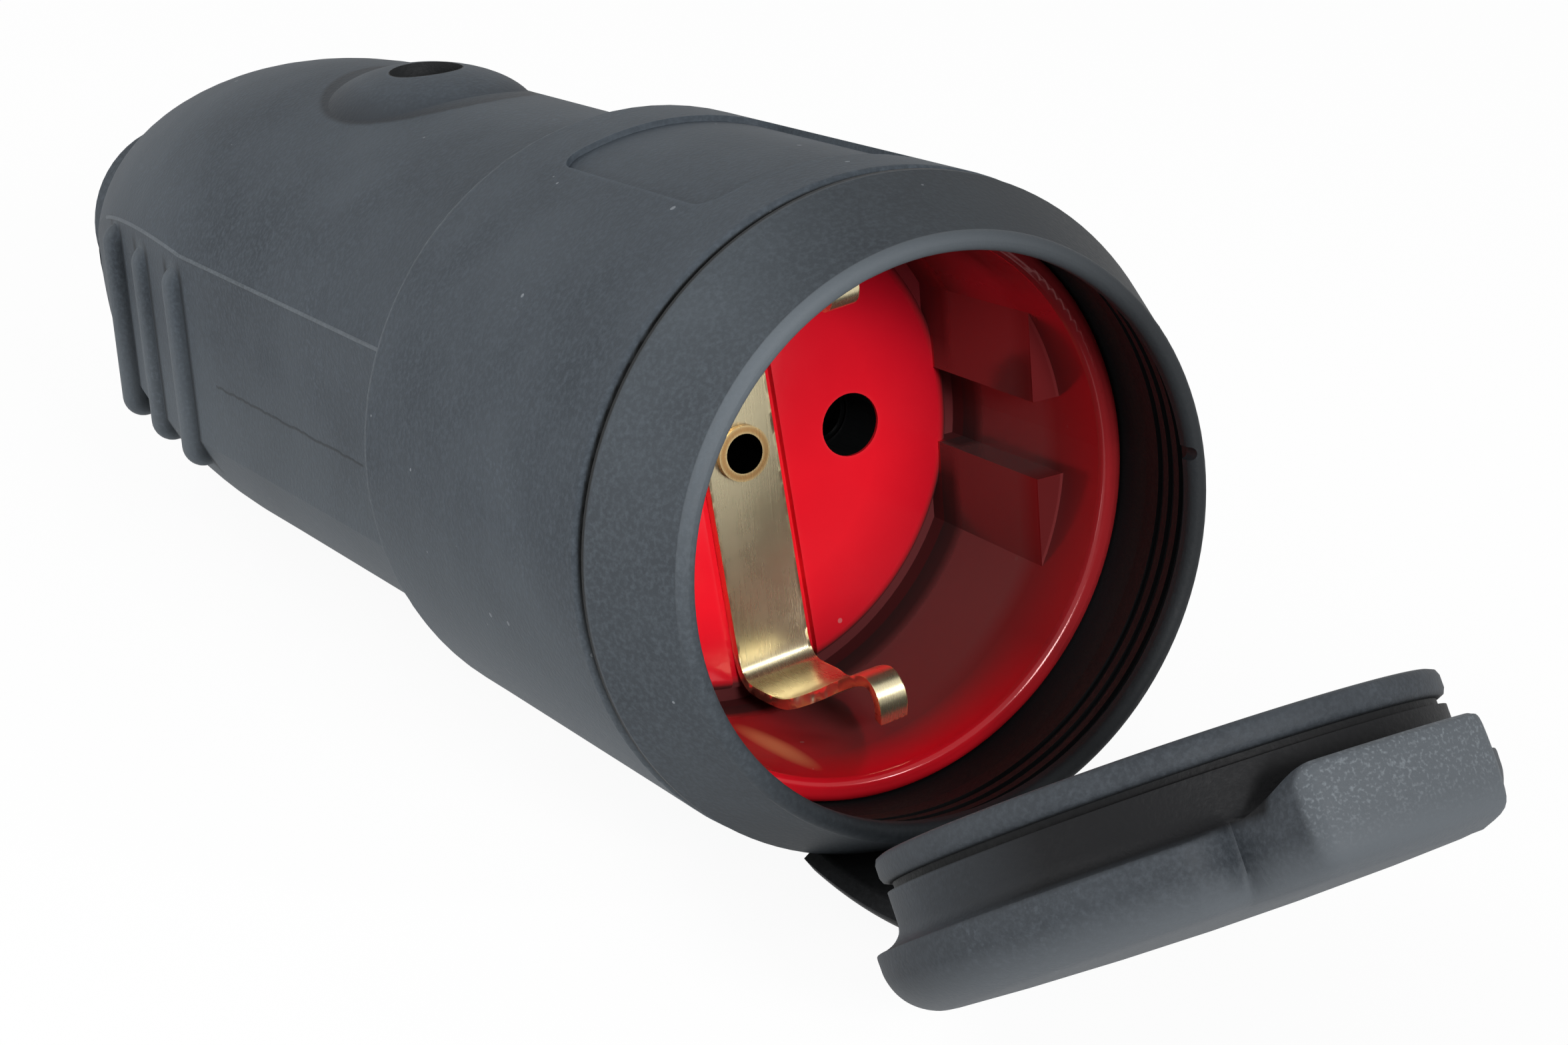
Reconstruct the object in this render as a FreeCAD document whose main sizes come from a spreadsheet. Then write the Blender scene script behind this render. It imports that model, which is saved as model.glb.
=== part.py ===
"""Rubber inline socket connector with side earth clips and a hinged splash lid.

Lengths are millimetres and angles degrees. The socket axis is Y: the mouth faces -Y and the
front rim of the socket insert lies at y = 0. The screw boss is on top (+Z) and the lid hangs
from a rubber strap below the mouth. Every piece is drawn on this axis, and then the whole
connector is tipped about X so that it lies on its lid and grip.
"""
import math
import os

import FreeCAD
import Part
import Sketcher

SIZES = {
    # Posture at rest: nose-up tip of the axis, and how far the lid stands open.
    "lie_angle": 3.7,
    "open_angle": 60.5,
    # Plastic socket insert with its guide blocks and pin holes.
    "recess_r": 19.5,
    "recess_lead": 3.6,
    "recess_draft": 0.2,
    "recess_depth": 17.5,
    "insert_wall": 1.7,
    "insert_rim": 0.7,
    "floor_thick": 4.5,
    "floor_margin": 1.1,
    "floor_edge": 0.9,
    "guide_depth": 2.5,
    "guide_front_y": 4.3,
    "guide_slot_half": 2.9,
    "pin_x": 9.5,
    "pin_hole_r": 2.4,
    # Rubber collar in front of the barrel.
    "collar_skirt": 1.2,
    "collar_gap": 0.7,
    "collar_set": 0.1,
    "collar_band": 0.6,
    "collar_length": 7.9,
    "collar_lip_wall": 0.9,
    "collar_ring_depth": 0.35,
    "collar_ring_width": 0.8,
    "lip_hook": 0.5,
    "lip_thick": 1.2,
    "notch_r": 0.5,
    "notch_angle": 5.4,
    # Rubber housing: barrel, step to the grip, domed rear and cord nose.
    "barrel_front_y": -2.6,
    "barrel_wall": 1.4,
    "barrel_draft": 0.6,
    "barrel_edge_r": 0.6,
    "step_y": 31.7,
    "step_height": 2.2,
    "grip_draft": 0.6,
    "grip_mid_y": 76.0,
    "grip_dome_r": 98.0,
    "nose_y": 121.0,
    "nose_r": 9.0,
    "nose_length": 3.0,
    # Hollow of the housing, from the insert seat to the cord inlet.
    "grip_wall": 4.2,
    "cavity_taper_y": 60.0,
    "cavity_draft": 1.4,
    "cavity_mid_y": 80.0,
    "inlet_r": 5.5,
    "inlet_length": 12.0,
    # Flats on both sides of the grip and the three finger ribs on each.
    "facet_half": 8.05,
    "facet_arc_r": 154.0,
    "facet_rear_y": 114.0,
    "facet_rear_out": 3.3,
    "rib_r": 1.8,
    "rib_out": 0.15,
    "rib_fall": 1.0,
    "rib_drop": 2.0,
    "rib_half_length": 8.8,
    "rib_front_y": 78.4,
    "rib_pitch": 9.4,
    # Shallow bare panel on the barrel top.
    "panel_front_y": 3.2,
    "panel_length": 21.8,
    "panel_angle": 44.0,
    "panel_depth": 0.45,
    "panel_corner_r": 2.0,
    # Screw boss on the grip.
    "boss_y": 65.0,
    "boss_half_width": 8.2,
    "boss_half_length": 11.5,
    "boss_sink": 2.6,
    "boss_rise": 4.2,
    "boss_hole_r": 3.0,
    "boss_seat_drop": 0.2,
    "boss_pilot_r": 2.0,
    # Lid, drawn shut: flange, groove, plug, flared cap, pull tab and finger scoops.
    "flange_play": 1.1,
    "flange_thick": 1.8,
    "flange_edge": 0.5,
    "lid_groove": 0.5,
    "lid_neck_drop": 0.7,
    "plug_play": 1.3,
    "plug_depth": 4.4,
    "flare_length": 1.4,
    "flare_r": 1.7,
    "cap_overlap": 0.6,
    "cap_thick": 4.6,
    "cap_edge_r": 3.5,
    "cap_dome": 0.5,
    "tab_half_width": 5.6,
    "tab_length": 3.2,
    "tab_thick": 4.4,
    "tab_edge_r": 0.8,
    "tab_lip_length": 1.8,
    "tab_lip": 2.3,
    "scoop_r": 4.0,
    "scoop_clear": 0.2,
    "scoop_rise": 0.5,
    "scoop_floor_angle": 25.0,
    "scoop_end_angle": 33.0,
    "scoop_depth": 9.0,
    # Rubber strap that hinges the lid below the collar, and the lid's small twist on it.
    "hinge_out": 0.6,
    "hinge_drop": 3.0,
    "strap_sag": 1.0,
    "strap_thick": 1.6,
    "strap_root_half": 9.0,
    "strap_lid_half": 7.0,
    "strap_bend_r": 60.0,
    "lid_twist": 3.8,
    # Brass earth bracket, riveted a little askew, its channel and hollow rivet.
    "bracket_skew": 5.3,
    "bracket_half_width": 3.0,
    "bracket_thick": 0.9,
    "bracket_proud": 0.3,
    "bracket_bend_r": 0.7,
    "channel_play": 0.7,
    "clip_back": 1.4,
    "clip_lean": 1.7,
    "clip_crest_y": 7.0,
    "clip_tip_y": 5.0,
    "clip_tip_drop": 2.4,
    "clip_slot_half": 1.5,
    "clip_slot_front_y": 8.4,
    "clip_slot_rear_y": 15.0,
    "eyelet_r": 1.8,
    "eyelet_wall": 0.3,
    "eyelet_lip": 0.3,
    "eyelet_flange": 0.5,
    # Contact carrier behind the insert, with two contact towers and the cord tongue.
    "carrier_thick": 5.2,
    "tower_wall": 1.6,
    "tower_length": 10.8,
    "cell_r": 4.0,
    "tongue_half_width": 6.0,
    "tongue_low_z": 5.0,
    "tongue_thick": 4.0,
    "tongue_end_y": 84.0,
    "clamp_y": 78.0,
    "clamp_half_length": 4.5,
    "clamp_half_width": 10.4,
    # Line contacts, terminals and springs.
    "sleeve_r": 3.3,
    "sleeve_wall": 1.2,
    "sleeve_slit_half": 0.4,
    "spring_thick": 0.4,
    "spring_length": 8.0,
    "spring_setback": 2.0,
    "terminal_half": 4.4,
    "terminal_length": 9.0,
    "wire_hole_r": 1.7,
    "earth_half_width": 3.6,
    "earth_plate": 1.2,
    "earth_head_room": 1.1,
    "earth_block_height": 8.0,
    "earth_block_length": 8.0,
    # Screws, bush and cord saddle.
    "terminal_screw_r": 1.5,
    "terminal_head_r": 2.5,
    "terminal_head": 1.9,
    "carrier_screw_x": 11.5,
    "carrier_screw_z": 11.0,
    "carrier_screw_r": 1.5,
    "carrier_head_r": 2.7,
    "carrier_head": 2.4,
    "carrier_screw_grip": 3.6,
    "fixing_screw_r": 1.7,
    "fixing_head_r": 2.6,
    "fixing_head": 1.8,
    "bush_wall": 1.6,
    "saddle_x": 7.8,
    "saddle_low_z": -8.0,
    "saddle_thick": 3.0,
    "saddle_half_length": 3.6,
    "saddle_screw_r": 1.5,
    "saddle_head_r": 2.5,
    "saddle_head": 2.0,
    "slot_half_width": 0.4,
    "slot_depth": 0.8,
    # Clearances: pieces that slide together, and holes around screws.
    "slip": 0.3,
    "snug": 0.1,
}

# Sizes that follow from the driving ones: the radii grow outwards from the plug recess.
FOLLOWING = {
    "recess_floor_r": "recess_r - recess_draft",
    "insert_r": "recess_r + insert_wall",
    "floor_r": "recess_floor_r - floor_margin",
    "guide_x": "recess_r - guide_depth",
    "lip_r": "recess_r + snug",
    "collar_bore_r": "insert_r + snug",
    "collar_skirt_r": "collar_bore_r + collar_skirt",
    "collar_undercut_r": "lip_r + lip_hook",
    "collar_front_r": "collar_undercut_r + collar_lip_wall",
    "lip_nose_r": "(collar_front_r - lip_r) / 2",
    "collar_rear_y": "barrel_front_y - collar_gap",
    "collar_front_y": "collar_rear_y - collar_length",
    "barrel_r": "collar_skirt_r + snug + barrel_wall",
    "collar_rear_r": "barrel_r - collar_set",
    "barrel_rear_r": "barrel_r - barrel_draft",
    "grip_front_r": "barrel_rear_r - step_height",
    "grip_mid_r": "grip_front_r - grip_draft",
    "nose_end_y": "nose_y + nose_length",
    "shoulder_y": "recess_depth + floor_thick + carrier_thick",
    "cavity_r": "grip_front_r - grip_wall",
    "cavity_mid_r": "cavity_r - cavity_draft",
    "cavity_neck_y": "nose_end_y - inlet_length",
    "facet_front_x": "sqrt(grip_front_r * grip_front_r - facet_half * facet_half)",
    "facet_mid_x": "sqrt(grip_mid_r * grip_mid_r - facet_half * facet_half)",
    "facet_rear_x": "nose_r + facet_rear_out",
    "panel_rear_y": "panel_front_y + panel_length",
    "boss_base_z": "grip_mid_r - boss_sink",
    "boss_seat_z": "boss_base_z - boss_seat_drop",
    "flange_r": "lip_r - flange_play",
    "lid_neck_r": "flange_r - lid_neck_drop",
    "plug_r": "lip_r - plug_play",
    "cap_r": "lip_r + cap_overlap",
    "lid_face_y": "collar_front_y + plug_depth",
    "flare_depth": "plug_depth + flare_length",
    "lid_thick": "flare_depth + cap_thick",
    "tab_reach": "cap_r + tab_length",
    "tab_lip_z": "tab_reach - tab_lip_length",
    "scoop_floor_r": "flange_r + scoop_clear",
    "scoop_end_r": "cap_r + scoop_rise",
    "hinge_y": "collar_front_y - hinge_out",
    "hinge_z": "0 - collar_rear_r - hinge_drop",
    "strap_low_z": "0 - collar_rear_r - strap_sag",
    "channel_half_width": "bracket_half_width + channel_play",
    "clip_foot_z": "recess_r - clip_back",
    "clip_crest_z": "clip_foot_z - bracket_thick - clip_lean",
    "clip_tip_z": "clip_crest_z + clip_tip_drop",
    "eyelet_bore_r": "eyelet_r - eyelet_wall",
    "eyelet_flange_r": "eyelet_r + eyelet_lip",
    "tower_r": "cell_r + tower_wall",
    "tower_end_y": "shoulder_y + tower_length",
    "sleeve_bore_r": "sleeve_r - sleeve_wall",
    "earth_low_z": "terminal_head + earth_head_room - cavity_r",
    "earth_block_z": "earth_low_z + earth_block_height",
    "bush_r": "fixing_screw_r + snug + bush_wall",
}

# Two places nearer than this count as one when edges are picked.
TOLERANCE = 0.01


class Size:
    """A number together with the spreadsheet expression that gives it."""

    def __init__(self, value, text):
        self.value = float(value)
        self.text = text

    def _join(self, other, sign, result):
        return Size(result, f"({self.text} {sign} {as_size(other).text})")

    def __add__(self, other):
        return self._join(other, "+", self.value + as_size(other).value)

    def __sub__(self, other):
        return self._join(other, "-", self.value - as_size(other).value)

    def __mul__(self, other):
        return self._join(other, "*", self.value * as_size(other).value)

    def __truediv__(self, other):
        return self._join(other, "/", self.value / as_size(other).value)

    def __radd__(self, other):
        return as_size(other) + self

    def __rsub__(self, other):
        return as_size(other) - self

    def __rmul__(self, other):
        return as_size(other) * self

    def __neg__(self):
        return 0 - self


def as_size(number):
    return number if isinstance(number, Size) else Size(number, str(number))


def root(square):
    return Size(math.sqrt(square.value), f"sqrt({square.text})")


doc = FreeCAD.newDocument("InlineSocket")
sheet = doc.addObject("Spreadsheet::Sheet", "Sizes")
cells = [(alias, str(amount)) for alias, amount in SIZES.items()]
cells += [(alias, f"={formula}") for alias, formula in FOLLOWING.items()]
for row, (alias, content) in enumerate(cells, start=1):
    sheet.set(f"A{row}", alias)
    sheet.set(f"B{row}", content)
    sheet.setAlias(f"B{row}", alias)
doc.recompute()
pieces = []


def s(alias):
    """A size from the sheet."""
    return Size(sheet.get(alias), f"Sizes.{alias}")


def turn_about_x(angle, y=0.0, z=0.0):
    """Rotation about the X-parallel line through (y, z)."""
    middle = FreeCAD.Vector(0, y, z)
    return FreeCAD.Placement(FreeCAD.Vector(), FreeCAD.Rotation(FreeCAD.Vector(1, 0, 0), angle), middle)


def turn_about_axis(angle):
    """Rotation about the socket axis; a positive angle leans the top towards +X."""
    return FreeCAD.Placement(FreeCAD.Vector(), FreeCAD.Rotation(FreeCAD.Vector(0, 1, 0), angle))


LYING = turn_about_x(-s("lie_angle").value)
LID_OPEN = LYING * turn_about_x(s("open_angle").value, s("hinge_y").value, s("hinge_z").value)


def shift(x, y, z):
    return FreeCAD.Placement(FreeCAD.Vector(x.value, y.value, z.value), FreeCAD.Rotation())


def keep(piece, label, place=LYING):
    """Registers a finished sub-part under its node name."""
    piece.Label = label
    piece.Placement = place
    pieces.append(piece)
    return piece


def new_body(name):
    return doc.addObject("PartDesign::Body", name)


def plane(body, role):
    return next(item for item in body.Origin.OriginFeatures if item.Role == role)


def new_sketch(body, role, name, offset=None):
    """Sketch on one of the body's planes, moved along the plane's normal by offset."""
    sketch = body.newObject("Sketcher::SketchObject", name)
    sketch.AttachmentSupport = [(plane(body, role), "")]
    sketch.MapMode = "FlatFace"
    if offset is not None:
        sketch.setExpression(".AttachmentOffset.Base.z", offset.text)
    return sketch


def pin_point(sketch, index, end, x, y):
    """Fixes a point of the sketch at driven coordinates."""
    for kind, axis, amount in (("DistanceX", -2, as_size(x)), ("DistanceY", -1, as_size(y))):
        if amount.text == "0":
            sketch.addConstraint(Sketcher.Constraint("PointOnObject", index, end, axis))
        else:
            made = sketch.addConstraint(Sketcher.Constraint(kind, index, end, amount.value))
            sketch.setExpression(f"Constraints[{made}]", amount.text)


def arc_between(start, end, radius):
    """Circle arc from start to end; a positive radius bends to the left of the way travelled."""
    chord = end - start
    middle = (start + end) * 0.5
    left = FreeCAD.Vector(-chord.y, chord.x, 0).normalize()
    side = 1 if radius > 0 else -1
    rise = math.sqrt(max(radius * radius - chord.Length ** 2 / 4, 0.0))
    centre = middle + left * (rise * side)
    first, last = (start, end) if side > 0 else (end, start)
    angles = [math.atan2(point.y - centre.y, point.x - centre.x) for point in (first, last)]
    circle = Part.Circle(centre, FreeCAD.Vector(0, 0, 1), abs(radius))
    return Part.ArcOfCircle(circle, angles[0], angles[1])


def outline(sketch, corners):
    """Closed outline; a corner is (x, y), or (x, y, radius) where an arc arrives at it."""
    spots = [FreeCAD.Vector(as_size(c[0]).value, as_size(c[1]).value, 0) for c in corners]
    ends = []
    for number, corner in enumerate(corners):
        start, end = spots[number - 1], spots[number]
        if len(corner) == 3:
            radius = corner[2]
            index = sketch.addGeometry(arc_between(start, end, radius.value), False)
            tail, head = (1, 2) if radius.value > 0 else (2, 1)
            size = radius if radius.value > 0 else -radius
            made = sketch.addConstraint(Sketcher.Constraint("Radius", index, size.value))
            sketch.setExpression(f"Constraints[{made}]", size.text)
        else:
            index = sketch.addGeometry(Part.LineSegment(start, end), False)
            tail, head = 1, 2
        ends.append((index, tail, head))
    for number, (index, tail, head) in enumerate(ends):
        before = ends[number - 1]
        sketch.addConstraint(Sketcher.Constraint("Coincident", before[0], before[2], index, tail))
        pin_point(sketch, index, head, corners[number][0], corners[number][1])
    return sketch


def disc(sketch, x, y, radius):
    """Circle in a sketch."""
    centre = FreeCAD.Vector(as_size(x).value, as_size(y).value, 0)
    circle = Part.Circle(centre, FreeCAD.Vector(0, 0, 1), radius.value)
    index = sketch.addGeometry(circle, False)
    made = sketch.addConstraint(Sketcher.Constraint("Radius", index, radius.value))
    sketch.setExpression(f"Constraints[{made}]", radius.text)
    pin_point(sketch, index, 3, x, y)
    return sketch


def polar(radius, angle):
    """Place at a radius, turned from straight up towards +X by an angle of the sheet."""
    turn = math.radians(s(angle).value)
    across = Size(math.sin(turn), f"sin(Sizes.{angle} * 1deg)")
    upward = Size(math.cos(turn), f"cos(Sizes.{angle} * 1deg)")
    return radius * across, radius * upward


def box_corners(x0, y0, x1, y1):
    return [(x0, y0), (x1, y0), (x1, y1), (x0, y1)]


def turned(body, name, corners, feature="Revolution"):
    """Outline in (radius, y) turned about the socket axis, added or cut away."""
    sketch = outline(new_sketch(body, "XY_Plane", f"{name}Sketch"), corners)
    solid = body.newObject(f"PartDesign::{feature}", name)
    solid.Profile = sketch
    solid.ReferenceAxis = (sketch, ["V_Axis"])
    solid.Angle = 360
    doc.recompute()
    return solid


def along_y(body, name, feature, y_from, y_to, draw):
    """Pad or pocket between two heights on the socket axis; draw fills the sketch in (x, z)."""
    far = y_to if feature == "Pad" else y_from
    sketch = new_sketch(body, "XZ_Plane", f"{name}Sketch", -far)
    draw(sketch)
    solid = body.newObject(f"PartDesign::{feature}", name)
    solid.Profile = sketch
    solid.setExpression("Length", (y_to - y_from).text)
    doc.recompute()
    return solid


def along_z(body, name, feature, z_from, z_to, draw):
    """Pad upwards or pocket downwards between two levels; draw fills the sketch in (x, y)."""
    near = z_from if feature == "Pad" else z_to
    sketch = new_sketch(body, "XY_Plane", f"{name}Sketch", near)
    draw(sketch)
    solid = body.newObject(f"PartDesign::{feature}", name)
    solid.Profile = sketch
    solid.setExpression("Length", (z_to - z_from).text)
    doc.recompute()
    return solid


def across_x(body, name, feature, width, draw):
    """Pad or pocket centred on the mirror plane; draw fills the sketch in (y, z)."""
    sketch = new_sketch(body, "YZ_Plane", f"{name}Sketch")
    draw(sketch)
    solid = body.newObject(f"PartDesign::{feature}", name)
    solid.Profile = sketch
    solid.SideType = "Symmetric"
    solid.setExpression("Length", width.text)
    doc.recompute()
    return solid


def mirrored(body, name, originals, role="YZ_Plane"):
    copy = body.newObject("PartDesign::Mirrored", name)
    copy.Originals = originals
    copy.MirrorPlane = (plane(body, role), [""])
    body.Tip = copy
    doc.recompute()
    return copy


def rounded(body, name, radius, chosen):
    """Fillet on the edges of the body's last solid for which chosen(edge) holds."""
    solid = body.Tip
    names = [f"Edge{n}" for n, edge in enumerate(solid.Shape.Edges, start=1) if chosen(edge)]
    fillet = body.newObject("PartDesign::Fillet", name)
    fillet.Base = (solid, names)
    fillet.setExpression("Radius", radius.text)
    doc.recompute()
    return fillet


def is_circle(edge, radius, y):
    """True for an arc about the socket axis of this radius at this height."""
    curve = edge.Curve
    if not isinstance(curve, Part.Circle) or abs(curve.Radius - radius.value) > TOLERANCE:
        return False
    return abs(curve.Center.y - y.value) < TOLERANCE and abs(curve.Center.x) < TOLERANCE


def build_housing():
    """One moulding: barrel, grip with flats and ribs, screw boss, and the hollow for the insert."""
    body = new_body("Housing")
    turned(body, "HousingOuter", [
        (0, s("barrel_front_y")),
        (s("barrel_r"), s("barrel_front_y")),
        (s("barrel_rear_r"), s("step_y")),
        (s("grip_front_r"), s("step_y")),
        (s("grip_mid_r"), s("grip_mid_y")),
        (s("nose_r"), s("nose_y"), s("grip_dome_r")),
        (s("nose_r"), s("nose_end_y")),
        (0, s("nose_end_y")),
    ])
    rounded(body, "BarrelEdges", s("barrel_edge_r"), lambda edge: (
        is_circle(edge, s("barrel_rear_r"), s("step_y")) or is_circle(edge, s("barrel_r"), s("barrel_front_y"))))

    beyond = s("barrel_r") * 2

    def draw_facets(sketch):
        for side in (1, -1):
            outline(sketch, [
                (side * beyond, s("step_y")),
                (side * s("facet_front_x"), s("step_y")),
                (side * s("facet_mid_x"), s("grip_mid_y")),
                (side * s("facet_rear_x"), s("facet_rear_y"), side * s("facet_arc_r")),
                (side * beyond, s("facet_rear_y")),
            ])
    along_z(body, "GripFlats", "Pocket", 0 - beyond, beyond, draw_facets)

    ribs = []
    for number in range(3):
        y = s("rib_front_y") + s("rib_pitch") * number
        middle = s("facet_front_x") + s("rib_out") - s("rib_fall") * number - s("rib_r")
        low = 0 - s("rib_drop") - s("rib_half_length")
        high = s("rib_half_length") - s("rib_drop")
        sketch = outline(new_sketch(body, "XZ_Plane", f"RibSketch{number}", -y), [
            (middle, low),
            (middle + s("rib_r"), low + s("rib_r"), s("rib_r")),
            (middle + s("rib_r"), high - s("rib_r")),
            (middle, high, s("rib_r")),
        ])
        rib = body.newObject("PartDesign::Revolution", f"Rib{number}")
        rib.Profile = sketch
        rib.ReferenceAxis = (sketch, ["Edge1"])
        rib.Angle = 360
        doc.recompute()
        ribs.append(rib)
    mirrored(body, "RibsBothSides", ribs)

    boss = body.newObject("PartDesign::AdditiveEllipsoid", "ScrewBoss")
    boss.AttachmentSupport = [(plane(body, "XY_Plane"), "")]
    boss.MapMode = "FlatFace"
    boss.setExpression("Radius1", s("boss_rise").text)
    boss.setExpression("Radius2", s("boss_half_width").text)
    boss.setExpression("Radius3", s("boss_half_length").text)
    boss.setExpression(".AttachmentOffset.Base.y", s("boss_y").text)
    boss.setExpression(".AttachmentOffset.Base.z", s("boss_base_z").text)
    doc.recompute()

    panel = new_sketch(body, "YZ_Plane", "PanelSketch")
    slope = (s("barrel_rear_r") - s("barrel_r")) / (s("step_y") - s("barrel_front_y"))
    front_r = s("barrel_r") + slope * (s("panel_front_y") - s("barrel_front_y")) - s("panel_depth")
    rear_r = s("barrel_r") + slope * (s("panel_rear_y") - s("barrel_front_y")) - s("panel_depth")
    outline(panel, [
        (s("panel_front_y"), front_r),
        (s("panel_rear_y"), rear_r),
        (s("panel_rear_y"), beyond),
        (s("panel_front_y"), beyond),
    ])
    recess = body.newObject("PartDesign::Groove", "BarePanel")
    recess.Profile = panel
    recess.ReferenceAxis = (panel, ["H_Axis"])
    recess.Midplane = True
    recess.setExpression("Angle", s("panel_angle").text)
    doc.recompute()
    corner_heights = (s("panel_front_y").value, s("panel_rear_y").value)

    def panel_corner(edge):
        box = edge.BoundBox
        flat = box.YLength < TOLERANCE and box.DiagonalLength < 3 * s("panel_depth").value
        return flat and any(abs(box.Center.y - y) < TOLERANCE for y in corner_heights)
    rounded(body, "PanelCorners", s("panel_corner_r"), panel_corner)

    turned(body, "HousingHollow", [
        (0, s("barrel_front_y") - s("slip")),
        (s("collar_skirt_r") + s("snug"), s("barrel_front_y") - s("slip")),
        (s("collar_skirt_r") + s("snug"), 0),
        (s("insert_r") + s("slip"), 0),
        (s("insert_r") + s("slip"), s("shoulder_y")),
        (s("cavity_r"), s("shoulder_y")),
        (s("cavity_r"), s("cavity_taper_y")),
        (s("cavity_mid_r"), s("cavity_mid_y")),
        (s("inlet_r"), s("cavity_neck_y")),
        (s("inlet_r"), s("nose_end_y") + s("slip")),
        (0, s("nose_end_y") + s("slip")),
    ], "Groove")
    along_z(body, "BossPilot", "Pocket", as_size(0), beyond,
            lambda sketch: disc(sketch, 0, s("boss_y"), s("boss_pilot_r")))
    along_z(body, "BossHole", "Pocket", s("boss_seat_z"), beyond,
            lambda sketch: disc(sketch, 0, s("boss_y"), s("boss_hole_r")))
    return keep(body, "rubber_housing")


def build_collar():
    """Rubber ring that carries the lid: cone outside, lip and fine rings inside, skirt behind."""
    body = new_body("Collar")
    rear = s("collar_rear_y")
    lip_back = s("collar_front_y") + s("lip_thick")
    corners = [
        (s("collar_bore_r"), 0),
        (s("collar_bore_r"), rear),
        (s("collar_undercut_r"), lip_back),
        (s("lip_r"), lip_back),
        (s("lip_r"), s("collar_front_y") + s("lip_nose_r")),
        (s("lip_r") + s("lip_nose_r"), s("collar_front_y"), s("lip_nose_r")),
        (s("collar_front_r"), s("collar_front_y") + s("lip_nose_r"), s("lip_nose_r")),
        (s("collar_rear_r"), rear - s("collar_band")),
        (s("collar_rear_r"), rear),
        (s("collar_skirt_r"), rear),
        (s("collar_skirt_r"), 0),
    ]
    turned(body, "CollarRing", corners)
    widening = (s("collar_bore_r") - s("collar_undercut_r")) / (rear - lip_back)
    for number in range(3):
        start = s("collar_ring_width") * (1 + 2 * number)
        end = start + s("collar_ring_width")
        shallow = s("collar_undercut_r") - s("collar_ring_depth")
        deep = s("collar_undercut_r") + s("collar_ring_depth")
        turned(body, f"CollarGroove{number}", [
            (shallow, lip_back + start),
            (deep + widening * start, lip_back + start),
            (deep + widening * end, lip_back + end),
            (shallow, lip_back + end),
        ], "Groove")
    notch_z, notch_x = polar(s("lip_r"), "notch_angle")
    along_y(body, "LipNotch", "Pocket", s("collar_front_y") - s("slip"), lip_back,
            lambda sketch: disc(sketch, notch_x, notch_z, s("notch_r")))
    return keep(body, "lid_collar")


def build_lid():
    """Rubber lid drawn shut: plug with snap flange, flared cap, pull tab and two finger scoops."""
    body = new_body("Lid")
    face = s("lid_face_y")
    groove_front = face - s("flange_thick")
    cap_front = face - s("lid_thick")
    edge_x = s("cap_r") - s("cap_edge_r")
    dome = (edge_x * edge_x) / (2 * s("cap_dome")) + s("cap_dome") / 2
    turned(body, "LidDisc", [
        (0, face),
        (0, cap_front - s("cap_dome")),
        (edge_x, cap_front, dome),
        (s("cap_r"), cap_front + s("cap_edge_r"), s("cap_edge_r")),
        (s("cap_r"), face - s("flare_depth")),
        (s("plug_r"), face - s("plug_depth"), -s("flare_r")),
        (s("plug_r"), groove_front - s("lid_groove")),
        (s("lid_neck_r"), groove_front - s("lid_groove")),
        (s("lid_neck_r"), groove_front),
        (s("flange_r"), groove_front),
        (s("flange_r"), face - s("flange_edge")),
        (s("flange_r") - s("flange_edge"), face, s("flange_edge")),
    ])
    tab_front = face - s("flare_depth") - s("tab_thick")
    tab_back = face - s("flare_depth")
    along_y(body, "PullTab", "Pad", tab_front, tab_back, lambda sketch: outline(
        sketch, box_corners(-s("tab_half_width"), s("lid_neck_r") / 2, s("tab_half_width"), s("tab_reach"))))
    along_y(body, "TabLip", "Pad", tab_front, tab_back + s("tab_lip"), lambda sketch: outline(
        sketch, box_corners(-s("tab_half_width"), s("tab_lip_z"), s("tab_half_width"), s("tab_reach"))))
    reach = s("tab_reach").value
    rounded(body, "TabEdges", s("tab_edge_r"), lambda edge: edge.BoundBox.ZMin > reach - TOLERANCE)

    floor_r = s("scoop_floor_r")
    floor_start = root(floor_r * floor_r - s("tab_half_width") * s("tab_half_width"))
    floor_end = polar(floor_r, "scoop_floor_angle")
    rim_end = polar(s("scoop_end_r"), "scoop_end_angle")

    def draw_scoops(sketch):
        for side in (1, -1):
            outline(sketch, [
                (side * s("tab_half_width"), s("tab_reach")),
                (side * s("tab_half_width"), floor_start),
                (side * floor_end[0], floor_end[1], -side * floor_r),
                (side * rim_end[0], rim_end[1], side * s("scoop_r")),
                (side * rim_end[0], s("tab_reach")),
            ])
    along_y(body, "FingerScoops", "Pocket", face - s("scoop_depth"), face, draw_scoops)
    return keep(body, "hinged_lid", LID_OPEN * turn_about_axis(s("lid_twist").value))


def lid_point(up, depth):
    """Place on the opened lid, from its centre: up towards the tab and in from its inner face."""
    angle = math.radians(s("open_angle").value)
    y = s("lid_face_y") - depth - s("hinge_y")
    z = up - s("hinge_z")
    cosine = Size(math.cos(angle), "cos(Sizes.open_angle * 1deg)")
    sine = Size(math.sin(angle), "sin(Sizes.open_angle * 1deg)")
    return (s("hinge_y") + y * cosine - z * sine, s("hinge_z") + y * sine + z * cosine)


def band_section(body, name, y, half_width, bend_r, top_z):
    """Section of the strap at a height on the axis: a band bowed downwards by bend_r, crown at top_z."""
    middle = top_z + bend_r
    outer_r = bend_r + s("strap_thick")
    drop = root(bend_r * bend_r - half_width * half_width)
    outer_drop = root(outer_r * outer_r - half_width * half_width)
    return outline(new_sketch(body, "XZ_Plane", name, -y), [
        (-half_width, middle - outer_drop),
        (half_width, middle - outer_drop, outer_r),
        (half_width, middle - drop),
        (-half_width, middle - drop, -bend_r),
    ])


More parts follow.
